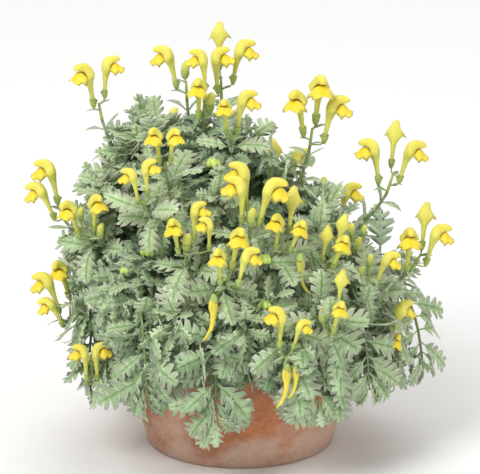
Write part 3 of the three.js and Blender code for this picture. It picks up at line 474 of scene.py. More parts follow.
def mottling_group():
    """Broad and fine patches as one value round a half"""
    group = bpy.data.node_groups.get("Mottling")
    if group:
        return group
    group = bpy.data.node_groups.new("Mottling", "ShaderNodeTree")
    group.interface.new_socket("Vector", in_out="INPUT", socket_type="NodeSocketVector")
    group.interface.new_socket("Broad", in_out="INPUT", socket_type="NodeSocketFloat")
    group.interface.new_socket("Fine", in_out="INPUT", socket_type="NodeSocketFloat")
    group.interface.new_socket("Value", in_out="OUTPUT", socket_type="NodeSocketFloat")
    nodes = Nodes(group)
    start = nodes.add("NodeGroupInput")
    end = nodes.add("NodeGroupOutput")
    broad = nodes.noise(start.outputs["Vector"], start.outputs["Broad"], 2.0)
    fine = nodes.noise(start.outputs["Vector"], start.outputs["Fine"], 4.0, 0.65)
    half = nodes.math("MULTIPLY", nodes.math("ADD", broad, fine), 0.5)
    group.links.new(half, end.inputs["Value"])
    return group


def mottling(nodes, place, broad, fine):
    node = nodes.add("ShaderNodeGroup", node_tree=mottling_group(),
                     inputs={"Vector": place, "Broad": broad, "Fine": fine})
    return node.outputs["Value"]


def bump(nodes, height, strength, distance):
    return nodes.add("ShaderNodeBump", inputs={
        "Height": height, "Strength": strength, "Distance": distance}).outputs["Normal"]


def new_material(name):
    material = bpy.data.materials.new(name)
    material.use_nodes = True
    return material, Nodes(material.node_tree), material.node_tree.nodes["Principled BSDF"]


def dress(nodes, shader, shown, rough, normal, specular=0.5):
    """Gives a shader its colour, roughness and relief; a plain roughness is set on its socket"""
    nodes.tree.links.new(shown, shader.inputs["Base Color"])
    nodes.tree.links.new(normal, shader.inputs["Normal"])
    if isinstance(rough, float):
        shader.inputs["Roughness"].default_value = rough
    else:
        nodes.tree.links.new(rough, shader.inputs["Roughness"])
    shader.inputs["Specular IOR Level"].default_value = specular


def clay_material(pan):
    material, nodes, shader = new_material("Fired clay")
    place = nodes.place()
    patches = mottling(nodes, place, 22.0, 260.0)
    height = nodes.add("ShaderNodeSeparateXYZ", inputs={0: place}).outputs["Z"]
    wave = nodes.add("ShaderNodeTexWave", bands_direction="Z", inputs={
        "Vector": place, "Scale": 55.0, "Distortion": 1.2, "Detail": 2.0, "Detail Scale": 1.5})
    turned = nodes.mix(nodes.ramp(patches, 0.36, 0.66), colour([c * 0.74 for c in pan.clay]),
                       colour([min(1, c * 1.22) for c in pan.clay]))
    streak = nodes.noise(place, 34.0, 5.0, 0.6)
    near_foot = nodes.ramp(height, 0.036, 0.0)
    under_rim = nodes.math("MULTIPLY", nodes.ramp(height, 0.05, 0.062), nodes.ramp(height, 0.070, 0.064))
    reach = nodes.math("ADD", nodes.math("MULTIPLY", near_foot, 0.34),
                       nodes.math("MULTIPLY", under_rim, 0.16))
    bloom = nodes.math("MULTIPLY", nodes.ramp(nodes.math("ADD", streak, reach), 0.56, 0.84), 0.62)
    dressed = nodes.mix(bloom, turned, colour(pan.bloom))
    specks = nodes.ramp(nodes.noise(place, 900.0, 1.0), 0.66, 0.72)
    dressed = nodes.mix(nodes.math("MULTIPLY", specks, 0.4), dressed, colour([c * 0.4 for c in pan.clay]))
    damp = nodes.math("MULTIPLY", nodes.ramp(nodes.math("ADD", height, nodes.math(
        "MULTIPLY", streak, 0.01)), 0.016, 0.004), 0.3)
    dressed = nodes.mix(damp, dressed, colour([c * 0.45 for c in pan.clay]))
    rough = nodes.math("ADD", nodes.math("MULTIPLY", patches, 0.25), 0.72)
    relief = nodes.math("ADD", nodes.math("MULTIPLY", wave.outputs["Fac"], 0.4),
                        nodes.noise(place, 700.0, 4.0, 0.7))
    dress(nodes, shader, dressed, rough, bump(nodes, relief, 0.5, 0.0005), 0.25)
    return material


def soil_material(soil):
    material, nodes, shader = new_material("Potting soil")
    place = nodes.place()
    patches = mottling(nodes, place, 90.0, 900.0)
    shown = nodes.mix(nodes.ramp(patches, 0.42, 0.62), colour(soil.dark), colour(soil.dry))
    fibres = nodes.ramp(nodes.noise(place, 1500.0, 2.0), 0.62, 0.68)
    shown = nodes.mix(nodes.math("MULTIPLY", fibres, 0.5), shown, (0.25, 0.17, 0.1, 1))
    grit = nodes.noise(place, 1100.0, 6.0, 0.75)
    dress(nodes, shader, shown, 0.95, bump(nodes, grit, 0.9, 0.0012), 0.2)
    return material


def leaf_material(plant):
    material, nodes, shader = new_material("Leaf")
    place = nodes.place()
    tone_and_shade = nodes.attribute("tone_and_shade")
    rim = nodes.attribute("rim")
    under = nodes.attribute("under")
    uv = nodes.add("ShaderNodeSeparateXYZ", inputs={
        0: nodes.add("ShaderNodeUVMap", uv_map="UVMap").outputs[0]})
    along = uv.outputs["X"]
    aside = nodes.math("ABSOLUTE", nodes.math("SUBTRACT", uv.outputs["Y"], 0.5))
    patches = mottling(nodes, place, 60.0, 700.0)
    base = nodes.mix(nodes.ramp(patches, 0.34, 0.68), colour([c * 0.80 for c in plant.blade]),
                     colour([min(1, c * 1.2) for c in plant.blade]))
    edge = nodes.math("POWER", rim, 2.6)
    base = nodes.mix(nodes.math("MULTIPLY", edge, 0.86), base, colour(plant.margin))
    midrib = nodes.ramp(aside, 0.07, 0.015)
    swept = nodes.math("SUBTRACT", along, nodes.math("MULTIPLY", aside, 0.26))
    ribs = nodes.math("ABSOLUTE", nodes.math("SINE", nodes.math("MULTIPLY", swept, 18.2)))
    side_vein = nodes.math("MULTIPLY", nodes.ramp(ribs, 0.22, 0.02), nodes.ramp(aside, 0.46, 0.30))
    lines = nodes.math("MAXIMUM", midrib, nodes.math("MULTIPLY", side_vein, 0.55))
    base = nodes.mix(nodes.math("MULTIPLY", lines, 0.75), base, colour(plant.vein))
    # Painted shade and light: tone_and_shade holds each leaf's random tone together with painted shade. It
    # darkens leaves deep in the mound and low down, and brightens those at its surface
    warm = nodes.mix(nodes.ramp(tone_and_shade, 0.1, 0.9), (0.52, 0.64, 0.56, 1), (1.2, 1.13, 0.99, 1))
    base = nodes.mix(1.0, base, warm, "MULTIPLY")
    base = nodes.mix(nodes.math("MULTIPLY", under, 0.45), base, colour([
        0.5 * (m + b) for m, b in zip(plant.margin, plant.blade)]))
    rough = nodes.math("ADD", nodes.math("MULTIPLY", patches, 0.2), 0.56)
    relief = nodes.math("SUBTRACT", nodes.math("MULTIPLY", nodes.noise(place, 900.0, 3.0), 0.5), lines)
    dress(nodes, shader, base, rough, bump(nodes, relief, 0.35, 0.0006), 0.3)
    shader.inputs["Sheen Weight"].default_value = 0.18
    return material


def stem_material(plant):
    material, nodes, shader = new_material("Square stem")
    place = nodes.place()
    patches = mottling(nodes, place, 45.0, 500.0)
    shown = nodes.mix(nodes.ramp(patches, 0.36, 0.64), colour([c * 0.72 for c in plant.stem]),
                      colour([min(1, c * 1.35) for c in plant.stem]))
    dress(nodes, shader, shown, 0.62, bump(nodes, nodes.noise(place, 1400.0, 3.0), 0.3, 0.0003))
    return material


def petal_material(plant):
    material, nodes, shader = new_material("Petal")
    place = nodes.place()
    warm, spot, young = (nodes.attribute(n) for n in ("warm", "spot", "young"))
    uv = nodes.add("ShaderNodeSeparateXYZ", inputs={
        0: nodes.add("ShaderNodeUVMap", uv_map="UVMap").outputs[0]})
    patches = mottling(nodes, place, 160.0, 900.0)
    streak = nodes.math("ABSOLUTE", nodes.math("SINE", nodes.math("MULTIPLY", uv.outputs["X"], 44.0)))
    lemon = nodes.mix(nodes.ramp(patches, 0.35, 0.65), colour([c * 0.86 for c in plant.lemon]),
                      colour([min(1, c * 1.08) for c in plant.lemon]))
    # Painted shade: olive lines darken the grooves between the tube's ridges
    shade = nodes.math("MULTIPLY", nodes.ramp(streak, 0.45, 0.0), 0.3)
    lemon = nodes.mix(shade, lemon, (0.56, 0.50, 0.03, 1))
    shown = nodes.mix(warm, lemon, colour(plant.gold))
    shown = nodes.mix(young, shown, colour(plant.green))
    shown = nodes.mix(nodes.ramp(spot, 0.2, 0.85), shown, colour(plant.throat))
    relief = nodes.math("ADD", nodes.math("MULTIPLY", streak, 0.4), nodes.noise(place, 1200.0, 2.0))
    dress(nodes, shader, shown, 0.5, bump(nodes, relief, 0.25, 0.0003), 0.3)
    shader.inputs["Sheen Weight"].default_value = 0.15
    return material


def calyx_material(plant, pale=1.0):
    material, nodes, shader = new_material("Calyx" if pale == 1.0 else "Young bud")
    place = nodes.place()
    patches = mottling(nodes, place, 150.0, 900.0)
    shown = nodes.mix(nodes.ramp(patches, 0.36, 0.64), colour([c * 0.7 * pale for c in plant.green]),
                      colour([min(1, c * 1.25 * pale) for c in plant.green]))
    dress(nodes, shader, shown, 0.6, bump(nodes, nodes.noise(place, 1500.0, 3.0), 0.3, 0.0003))
    return material


# Pieces


def as_mesh(bm, name):
    mesh = bpy.data.meshes.new(name)
    bm.to_mesh(mesh)
    bm.free()
    return mesh


def finish_piece(bm, name, materials, nodes):
    """The finished piece in the scene, in place of its nodes"""
    mesh = as_mesh(bm, name)
    for material in materials:
        mesh.materials.append(material)
    piece = bpy.data.objects.new(name, mesh)
    bpy.context.scene.collection.objects.link(piece)
    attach(piece, "root")
    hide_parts(*nodes)
    return piece


def loft(bm, rings, material=0, smooth=True):
    """A closed tube through rings of points; returns the rows of vertices"""
    row = bmesh.ops.create_circle(bm, segments=len(rings[0]), radius=1.0)["verts"]
    for vertex, point in zip(row, rings[0]):
        vertex.co = point
    rows, faces = [row], []
    for ring in rings[1:]:
        edges = [bm.edges.get((row[k - 1], row[k])) for k in range(len(row))]
        grown = bmesh.ops.extrude_edge_only(bm, edges=edges)["geom"]
        new = {item for item in grown if isinstance(item, bmesh.types.BMVert)}
        row = [next(e.other_vert(v) for e in v.link_edges if e.other_vert(v) in new) for v in row]
        for vertex, point in zip(row, ring):
            vertex.co = point
        faces += [item for item in grown if isinstance(item, bmesh.types.BMFace)]
        rows.append(row)
    faces += [bm.faces.new(rows[0]), bm.faces.new(rows[-1])]
    for face in faces:
        face.material_index = material
        face.smooth = smooth
    bmesh.ops.recalc_face_normals(bm, faces=faces)
    return rows


def side_normals(along, across):
    """The four directions across a stem, a quarter turn apart"""
    front = across.cross(along).normalized()
    side = along.cross(front).normalized()
    return [front, side, -front, -side]


SQUARE = [(1, -0.5), (1, 0.5), (0.5, 1), (-0.5, 1), (-1, 0.5), (-1, -0.5), (-0.5, -1), (0.5, -1)]
ROUND = [(math.cos(math.tau * k / 6), math.sin(math.tau * k / 6)) for k in range(6)]


def stem_ring(centre, along, across, half, shape=SQUARE):
    """The corners of a stem's cross section"""
    front, side = side_normals(along, across)[:2]
    return [centre + (front * f + side * s) * half for f, s in shape]


class Curve:
    """A shoot's line in metres, measured by its length"""

    STEPS = 40

    def __init__(self, corners):
        self.corners = corners
        self.points = [self.raw(i / self.STEPS) for i in range(self.STEPS + 1)]
        self.marks = [0.0]
        for a, b in zip(self.points, self.points[1:]):
            self.marks.append(self.marks[-1] + (b - a).length)
        self.length = self.marks[-1]

    def raw(self, t):
        a, b, c, d = self.corners
        u = 1 - t
        return a * u ** 3 + b * (3 * u * u * t) + c * (3 * u * t * t) + d * t ** 3

    def parameter(self, share):
        target = min(max(share, 0.0), 1.0) * self.length
        i = next((k for k in range(self.STEPS) if self.marks[k + 1] >= target), self.STEPS - 1)
        span = self.marks[i + 1] - self.marks[i]
        return (i + (target - self.marks[i]) / span) / self.STEPS

    def at(self, share):
        return self.raw(self.parameter(share))

    def along(self, share):
        t = self.parameter(share)
        low, high = max(t - 0.01, 0.0), min(t + 0.01, 1.0)
        return (self.raw(high) - self.raw(low)).normalized()


def plan_shoot(start, plan, away):
    """The curve of a shoot and the level direction across it"""
    tip = Vector(plan["tip"]) * MM
    out = Vector((tip.x - start.x, tip.y - start.y, 0))
    reach, rise = out.length, tip.z - start.z
    out.normalize()
    if "habit" in plan:
        arch, inward, above = HABITS[plan["habit"]]
        climb, inward, above = max(arch * MM - start.z, 0.008), inward * MM, above * MM
    else:
        climb, inward, above = UPRIGHT_CLIMB * rise, UPRIGHT_INWARD * reach, -UPRIGHT_BELOW * rise
    first = start + UP * climb + away * (BRANCH_SPREAD * MM)
    second = tip + UP * above - out * inward
    return {**plan, "curve": Curve([start, first, second, tip]), "across": UP.cross(out)}


def plan_stem(root, plans):
    """The main shoot of a stem and its branches"""
    start = Vector((root[0] * MM, root[1] * MM, SOIL_LEVEL * MM))
    main = plan_shoot(start, plans[0], Vector())
    shoots, taken = [main], []
    for plan in plans[1:]:
        share = plan["branches_at"]
        fork = main["curve"].at(share)
        normals = side_normals(main["curve"].along(share), main["across"])
        to_tip = Vector(plan["tip"]) * MM - fork
        sides = [k for k in ([1, 3] if "habit" in plans[0] else range(4)) if (share, k) not in taken]
        side = max(sides, key=lambda k: normals[k].dot(to_tip))
        taken.append((share, side))
        shoots.append(plan_shoot(fork + normals[side] * MM, plan, normals[side]))
    return shoots


def share_sprays(stems):
    """Gives each spray to the shoot that passes nearest below its tip"""
    starts = []
    for i, shoots in enumerate(stems):
        for shoot in shoots:
            for k in range(3, 15):
                point = shoot["curve"].at(k / 16)
                if point.z > SPRAY_FROM * MM:
                    starts.append((i, point))
    sprays = [[] for _ in stems]
    for x, y, z in SPRAYS + BUD_SPRAYS:
        tip = Vector((x, y, z)) * MM
        hangs = tip.z < SPRAY_HANGS * MM
        tip -= (tip - MOUND_MIDDLE).normalized() * (SPRAY_REACH * (0.55 if hangs else 1.0) * MM)

        def reach(item):
            way = tip - item[1]
            away = way.length if hangs else way.length + max(0.0, 0.006 - way.z) * 4
            return abs(away - SPRAY_LENGTH * MM)

        i, start = min(starts, key=reach)
        sprays[i].append({"start": start, "tip": tip, "buds": (x, y, z) in BUD_SPRAYS})
    return sprays


# Leaves


class Leaves:
    """Ready leaf meshes in several bends, and the rule that sets one on a stem"""

    def __init__(self, draw):
        def bends(name, count, *shape):
            return [self.make(f"{name}_{i}", draw, *shape) for i in range(count)]

        self.full = bends("leaf", LEAF_BENDS, LEAF_ROWS, LEAF_HALF)
        self.small = bends("small_leaf", SMALL_LEAF_BENDS, SMALL_LEAF_ROWS, SMALL_LEAF_HALF)
        self.bracts = bends("bract", BRACT_BENDS, BRACT_ROWS, BRACT_HALF)
        self.head_bracts = bends("head_bract", BRACT_BENDS, BRACT_ROWS, HEAD_BRACT_HALF, 2)

    def discard(self):
        """Removes the ready leaves once the stems and heads hold their copies"""
        for mesh in self.full + self.small + self.bracts + self.head_bracts:
            bpy.data.meshes.remove(mesh)

    def make(self, name, draw, rows, half_width, material=0):
        """One leaf of unit length along Y, as a thin closed shell, cupped, arched and twisted"""
        bm = bmesh.new()
        uv = bm.loops.layers.uv.new("UVMap")
        rim = bm.verts.layers.float.new("rim")
        under = bm.verts.layers.float.new("under")
        bm.verts.layers.float.new("tone_and_shade")
        last = len(rows) - 1
        bmesh.ops.create_grid(bm, x_segments=2, y_segments=last, size=0.5)
        spot = {v: (2 * v.co.x, round((v.co.y + 0.5) * last)) for v in bm.verts}
        for face in bm.faces:
            face.smooth = True
            for loop in face.loops:
                t, row = spot[loop.vert]
                loop[uv].uv = (rows[row][0], 0.5 + 0.5 * t)
        cup, droop = draw.uniform(0.1, 0.34), draw.uniform(0.0, 0.25)
        ripple = [draw.uniform(-0.06, 0.06) for _ in rows]
        lean = [draw.uniform(0.9, 1.1) for _ in rows]
        for vertex, (t, row) in spot.items():
            share, half, sweep = rows[row]
            wide = half * half_width * lean[row] * abs(t) ** 0.9
            vertex[rim] = abs(t)
            vertex.co = Vector((
                math.copysign(wide, t),
                share + sweep * abs(t) ** 1.6,
                cup * wide - droop * wide * abs(t) + ripple[row] * half_width * t * t * half * 2,
            ))
        upper = list(bm.faces)
        copied = bmesh.ops.duplicate(bm, geom=list(bm.verts) + list(bm.edges) + upper)
        lower = [item for item in copied["geom"] if isinstance(item, bmesh.types.BMFace)]
        bmesh.ops.reverse_faces(bm, faces=lower)
        for vertex in {v for face in lower for v in face.verts}:
            vertex[under] = 1.0
            vertex.co.z -= LEAF_THICKNESS * (1 - vertex[rim]) * (0.4 if vertex.co.y > 0.97 else 1)
        bmesh.ops.remove_doubles(bm, verts=bm.verts, dist=1e-5)
        for vertex in bm.verts:
            if vertex[rim] > 0.99:
                vertex[under] = 0.0
        self.close_ends(bm)
        arch, twist = math.radians(draw.uniform(8, 74)), draw.uniform(-0.35, 0.35)
        sway = draw.uniform(-0.12, 0.12)
        for vertex in bm.verts:
            x, y, z = vertex.co
            x, z = x - twist * z * y, z + twist * x * y
            turn = arch * y
            vertex.co = Vector((
                x + sway * y * y,
                math.sin(turn) / arch + z * math.sin(turn),
                -(1 - math.cos(turn)) / arch + z * math.cos(turn),
            ))
        bmesh.ops.recalc_face_normals(bm, faces=bm.faces)
        for face in bm.faces:
            face.material_index = material
        return as_mesh(bm, name)

    @staticmethod
    def close_ends(bm):
        """Closes the slits at the base and the tip"""
        edges = [edge for edge in bm.edges if edge.is_boundary]
        if edges:
            for face in bmesh.ops.holes_fill(bm, edges=edges, sides=0)["faces"]:
                face.smooth = True

    @staticmethod
    def set_on(bm, mesh, matrix, tone_and_shade):
        """Copies a ready leaf to its place"""
        # One value per leaf: its random tone with its painted shade
        values = [tone_and_shade] * len(mesh.vertices)
        mesh.attributes["tone_and_shade"].data.foreach_set("value", values)
        mesh.transform(matrix)
        bm.from_mesh(mesh)
        mesh.transform(matrix.inverted())


def standing(point, forward, up, length, narrow=1.0):
    """Matrix that lays a leaf along forward with its face towards up"""
    forward = forward.normalized()
    across = forward.cross(up)
    if across.length < 1e-4:
        across = forward.cross(Vector((1, 0, 0)))
    across.normalize()
    over = across.cross(forward)
    turn = Matrix((across, forward, over)).transposed().to_4x4()
    size = Matrix.Diagonal((length * narrow, length, length, 1.0))
    return Matrix.Translation(point) @ turn @ size


def level_reach(profile, height):
    """The reach of the mound at a height, between the rows of its profile"""
    if height <= profile[0][0]:
        return profile[0][1]
    for (low, near), (high, far) in zip(profile, profile[1:]):
        if height <= high:
            return near + (far - near) * (height - low) / (high - low)
    return profile[-1][1]


class Foliage:
    """Grows stems, twigs and leaves, clear of the pan and inside the plant's outline"""

    def __init__(self, plant, pan):
        self.plant, self.pan = plant, pan
        self.draw = random.Random(plant.seed)
        self.leaves = Leaves(self.draw)

    def clear(self, point):
        """Whether a point keeps clear of the pan and the soil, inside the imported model's box"""
        low, high = CAD_BOX
        inside = all(low[k] - BOX_ROOM < point[k] < high[k] + BOX_ROOM for k in range(3))
        radius = math.hypot(point.x, point.y)
        pan = self.pan
        if point.z > pan.height + RIM_ROOM:
            return inside
        if radius < pan.rim_radius - pan.wall - BOX_ROOM:
            return inside and point.z > SOIL_LEVEL * MM + MM
        return inside and radius > pan.rim_radius + WALL_ROOM

    def within(self, point):
        """Whether a point lies inside the mound's outline"""
        seen = (point.z + RISE_BEHIND * max(0.0, point.y)) / MM
        wide = level_reach(RIGHT_REACH if point.x > 0 else LEFT_REACH, seen) * MM
        deep = level_reach(DEPTH_REACH, point.z / MM) * MM
        return (point.x / wide) ** 2 + (point.y / deep) ** 2 < OUTLINE_SLACK

    def lit(self, point):
        """Painted shade: from nought deep inside the mound to one at its surface, less towards its foot"""
        above = point.z / MM + 20
        wide = level_reach(RIGHT_REACH if point.x > 0 else LEFT_REACH, above) * MM
        deep = level_reach(DEPTH_REACH, above) * MM
        share = math.sqrt((point.x / wide) ** 2 + (point.y / deep) ** 2)
        low = 0.6 + 0.4 * min(1.0, max(0.0, (point.z / MM - 50) / 100))
        return low * min(1.0, max(0.0, (share - 0.55) / 0.4))

    def leaf(self, bm, meshes, point, forward, up, length, tone_and_shade, narrow=1.0, bounded=True):
        """One leaf on its node; bounded leaves stay inside the mound's outline"""
        if bounded and not self.within(point + forward.normalized() * length * 0.8):
            return
        away = Vector((point.x, point.y, 0)).normalized() * 0.3
        mesh = self.draw.choice(meshes)
        # Painted shade: a leaf deep inside the mound or near its foot is coloured darker
        tone_and_shade = tone_and_shade * 0.55 + 0.45 * self.lit(point + forward.normalized() * length * 0.6)
        for lift, share in LEAF_WAYS:
            way = (forward.normalized() + UP * lift + away * abs(lift)).normalized()
            size = length * share
            if all(self.clear(point + way * size * part) for part in (0.3, 0.6, 1.0)):
                self.leaves.set_on(bm, mesh, standing(point, way, up, size, narrow), tone_and_shade)
                return

    def pair(self, bm, meshes, point, along, across, turn, length, angle, tone_and_shade, narrow=1.0, flat=False,
             bounded=True):
        """Two opposite leaves at a node; flat spreads them side by side, faces outward"""
        normals = side_normals(along, across)
        draw = self.draw
        outward = Vector((point.x, point.y, 0)).normalized()
        for side in (turn, turn + 2):
            out = normals[side]
            if flat:
                out = (normals[1 if side < 2 else 3] + outward * draw.uniform(0.1, 0.5)).normalized()
            lift = math.radians(angle + draw.uniform(-11, 11))
            forward = along * math.cos(lift) + out * math.sin(lift)
            forward += across * draw.uniform(-0.14, 0.14)
            up = along * math.sin(lift) - out * math.cos(lift) + UP * 0.35
            if flat:
                up = outward + UP * draw.uniform(0.1, 0.5) + out * draw.uniform(-0.3, 0.3)
            self.leaf(bm, meshes, point + out * 0.0007, forward, up,
                      length * draw.uniform(0.84, 1.12), min(1, max(0, tone_and_shade + draw.uniform(-0.2, 0.2))),
                      narrow * draw.uniform(0.9, 1.12), bounded)

    def twig(self, bm, point, direction, length, pairs, leaf, tone_and_shade):
        """A short side shoot with crossed pairs of leaves"""
        draw = self.draw
        direction = direction.normalized()
        lift = (direction + UP * draw.uniform(0.15, 0.7)).normalized()
        end = point + direction * length * 0.5 + lift * length * 0.5
        far = end + lift * leaf * 0.7
        if not all(self.clear(spot) for spot in (end, point + direction * length * 0.5, far)):
            return
        if not self.within(far):
            return
        curve = Curve([point, point + direction * length * 0.35, end - lift * length * 0.35, end])
        across = direction.cross(UP)
        across = across.normalized() if across.length > 1e-3 else Vector((1, 0, 0))
        rings = [stem_ring(curve.at(s), curve.along(s), across, (0.62 - 0.2 * s) * MM, ROUND)
                 for s in (0.0, 0.5, 1.0)]
        loft(bm, rings, 1)
        turn = draw.randrange(2)
        for i in range(pairs):
            share = 1.0 - i / pairs * 0.85
            size = leaf * (0.62 + 0.38 * min(1.0, i / max(1, pairs - 1) * 1.4))
            meshes = self.leaves.small if size < 0.0155 else self.leaves.full
            self.pair(bm, meshes, curve.at(share), curve.along(share), across, (turn + i) % 2,
                      size, 30 + 18 * i, tone_and_shade)

    def bud_knot(self, bm, point, along):
        """A knot of round young buds"""
        for k in range(KNOT_BUDS):
            angle = k * KNOT_TURN
            aside = Vector((math.cos(angle), math.sin(angle), 0)) * (0.0025 if k else 0.0)
            centre = point + along * (0.0022 - 0.0002 * k) + aside
            place = Matrix.Translation(centre) @ Matrix.Diagonal((1, 1, 1.25, 1))
            made = bmesh.ops.create_icosphere(bm, subdivisions=2, radius=0.0017, matrix=place)["verts"]
            for face in {face for vertex in made for face in vertex.link_faces}:
                face.material_index = 2
                face.smooth = True

    def spray(self, bm, spray):
        """A leafy side shoot from a stem to its own tip; over the rim where the tip hangs"""
        draw, plant, pan = self.draw, self.plant, self.pan
        start, tip = spray["start"], spray["tip"]
        way = tip - start
        level = Vector((way.x, way.y, 0))
        out = Vector((tip.x, tip.y, 0)).normalized()
        hangs = tip.z < pan.height + 0.006
        if hangs:
            climb = max(pan.height + 0.016 - start.z, 0.008)
            first = start + UP * climb + level * 0.35
            second = tip + UP * max(pan.height + 0.012 - tip.z, 0.012) - out * 0.004
        else:
            first = start + level * 0.3 + UP * max(way.z * 0.25, 0.004)
            second = tip - UP * way.length * 0.25 - out * way.length * 0.1
        curve = Curve([start, first, second, tip])
        across = UP.cross(level).normalized() if level.length > 0.002 else Vector((1, 0, 0))
        rings = [stem_ring(curve.at(s), curve.along(s), across, (0.85 - 0.25 * s) * MM)
                 for s in (0.0, 0.14, 0.28, 0.42, 0.56, 0.7, 0.85, 1.0)]
        loft(bm, rings, 1)
        if spray["buds"]:
            self.bud_knot(bm, curve.at(1.0), curve.along(1.0))
        turn = draw.randrange(2)
        back, node = (0.0035 if spray["buds"] else 0.0008), 0
        tone_and_shade = draw.uniform(0.3, 0.9)
        while back < curve.length - 0.006 and node < len(SPRAY_SIZES):
            share = 1 - back / curve.length
            point, along = curve.at(share), curve.along(share)
            size = plant.leaf * SPRAY_SIZES[node] * draw.uniform(0.88, 1.1)
            side = (turn + node) % 2
            angle = (26 + 17 * node if hangs else 16 + 12 * node) + (34 if spray["buds"] else 0)
            self.pair(bm, self.leaves.full, point, along, across, side, size, min(80, angle), tone_and_shade, 1.05,
                      hangs, not hangs)
            if node in (1, 3, 5):
                normals = side_normals(along, across)
                for k in (1 - side, 3 - side):
                    self.twig(bm, point + normals[k] * 0.0005, along * 0.6 + normals[k], 0.006, 2,
                              plant.small_leaf, tone_and_shade)
            back += draw.uniform(0.0045, 0.006) if node < 2 else draw.uniform(0.007, 0.0095)
            node += 1

    def shoot(self, bm, shoot, main):
        """A shoot with its crossed leaf pairs, from its tip down, and the tufts in their axils"""
        draw, plant = self.draw, self.plant
        curve, across = shoot["curve"], shoot["across"]
        shares = [i / SHOOT_RINGS for i in range(SHOOT_RINGS + 1)]
        start_half = ROOT_HALF if main else TIP_HALF
        end_half = TIP_HALF if "head" in shoot else LEAFY_TIP_HALF
        rings = [stem_ring(curve.at(s), curve.along(s), across,
                           (start_half + (end_half - start_half) * s) * MM) for s in shares]
        if main:
            foot = curve.at(0.0) - UP * (STEM_FOOT * MM)
            rings.insert(0, stem_ring(foot, UP, across, start_half * MM))
        loft(bm, rings, 1)
        turn = draw.randrange(2)
        back = 0.005
        if shoot.get("bare"):
            for i in range(BARE_NODES):
                share = 1 - back / curve.length
                self.pair(bm, self.leaves.bracts, curve.at(share), curve.along(share), across,
                          i % 2, 0.0115 + 0.0008 * i, 46, 0.55, 1.15, False, False)
                back += BARE_STEP
            back += 0.002
        elif "head" in shoot:
            back = 0.007
        else:
            self.pair(bm, self.leaves.small, curve.at(0.99), curve.along(0.99), across, 1 - turn,
                      plant.small_leaf, 16, 0.8, 1.0, False, False)
        node = 0
        while back < curve.length - 0.004 and node < SHOOT_NODES:
            share = 1 - back / curve.length
            point, along = curve.at(share), curve.along(share)
            young = "head" not in shoot and node < 3
            rosette = young and "habit" in shoot
            sizes = ROSETTE_SIZES if rosette else TIP_SIZES
            size = plant.leaf * (sizes[node] if young else 1.0) * draw.uniform(0.9, 1.08)
            angle = (26 + (22 if rosette else 13) * node) if young else min(82, 50 + 4 * node)
            side = (turn + node) % 2
            # Painted shade: leaves further down a shoot, deeper in the mound, are coloured darker
            tone_and_shade = 0.75 - 0.05 * node
            low = "habit" in shoot and point.z < self.pan.height + 0.006
            self.pair(bm, self.leaves.full, point, along, across, side, size, angle, tone_and_shade, 1.0, low,
                      False)
            normals = side_normals(along, across)
            if node >= 1 and not low:
                for k in (side, side + 2):
                    direction = along * 0.75 + normals[k] * 0.8
                    grow = 0.006 if node < 4 else draw.uniform(0.012, 0.026)
                    pairs = 2 if node < 4 else 3
                    leaf = plant.small_leaf if node < 4 else draw.uniform(0.8, 1.0) * plant.leaf * 0.82
                    self.twig(bm, point + normals[k] * 0.0006, direction, grow, pairs, leaf, tone_and_shade + 0.1)
            if node >= 5:
                for k in (1 - side, 3 - side):
                    direction = along * 0.3 + normals[k] + across * draw.uniform(-0.5, 0.5)
                    self.twig(bm, point + normals[k] * 0.0006, direction, draw.uniform(0.014, 0.024), 3,
                              plant.leaf * 0.8, tone_and_shade)
            back += 0.0045 if rosette else draw.uniform(0.0062, 0.0082) + 0.0007 * node
            node += 1


# Flowers


def flower_frame(facing, lean):
    """Front, side and axis of a flower"""
    turn, tilt = math.radians(facing), math.radians(lean)
    look = Vector((math.sin(turn), -math.cos(turn), 0))
    axis = Vector((math.sin(tilt), -0.12 * math.cos(turn), math.cos(tilt))).normalized()
    side = axis.cross(look).normalized()
    return side.cross(axis).normalized(), side, axis


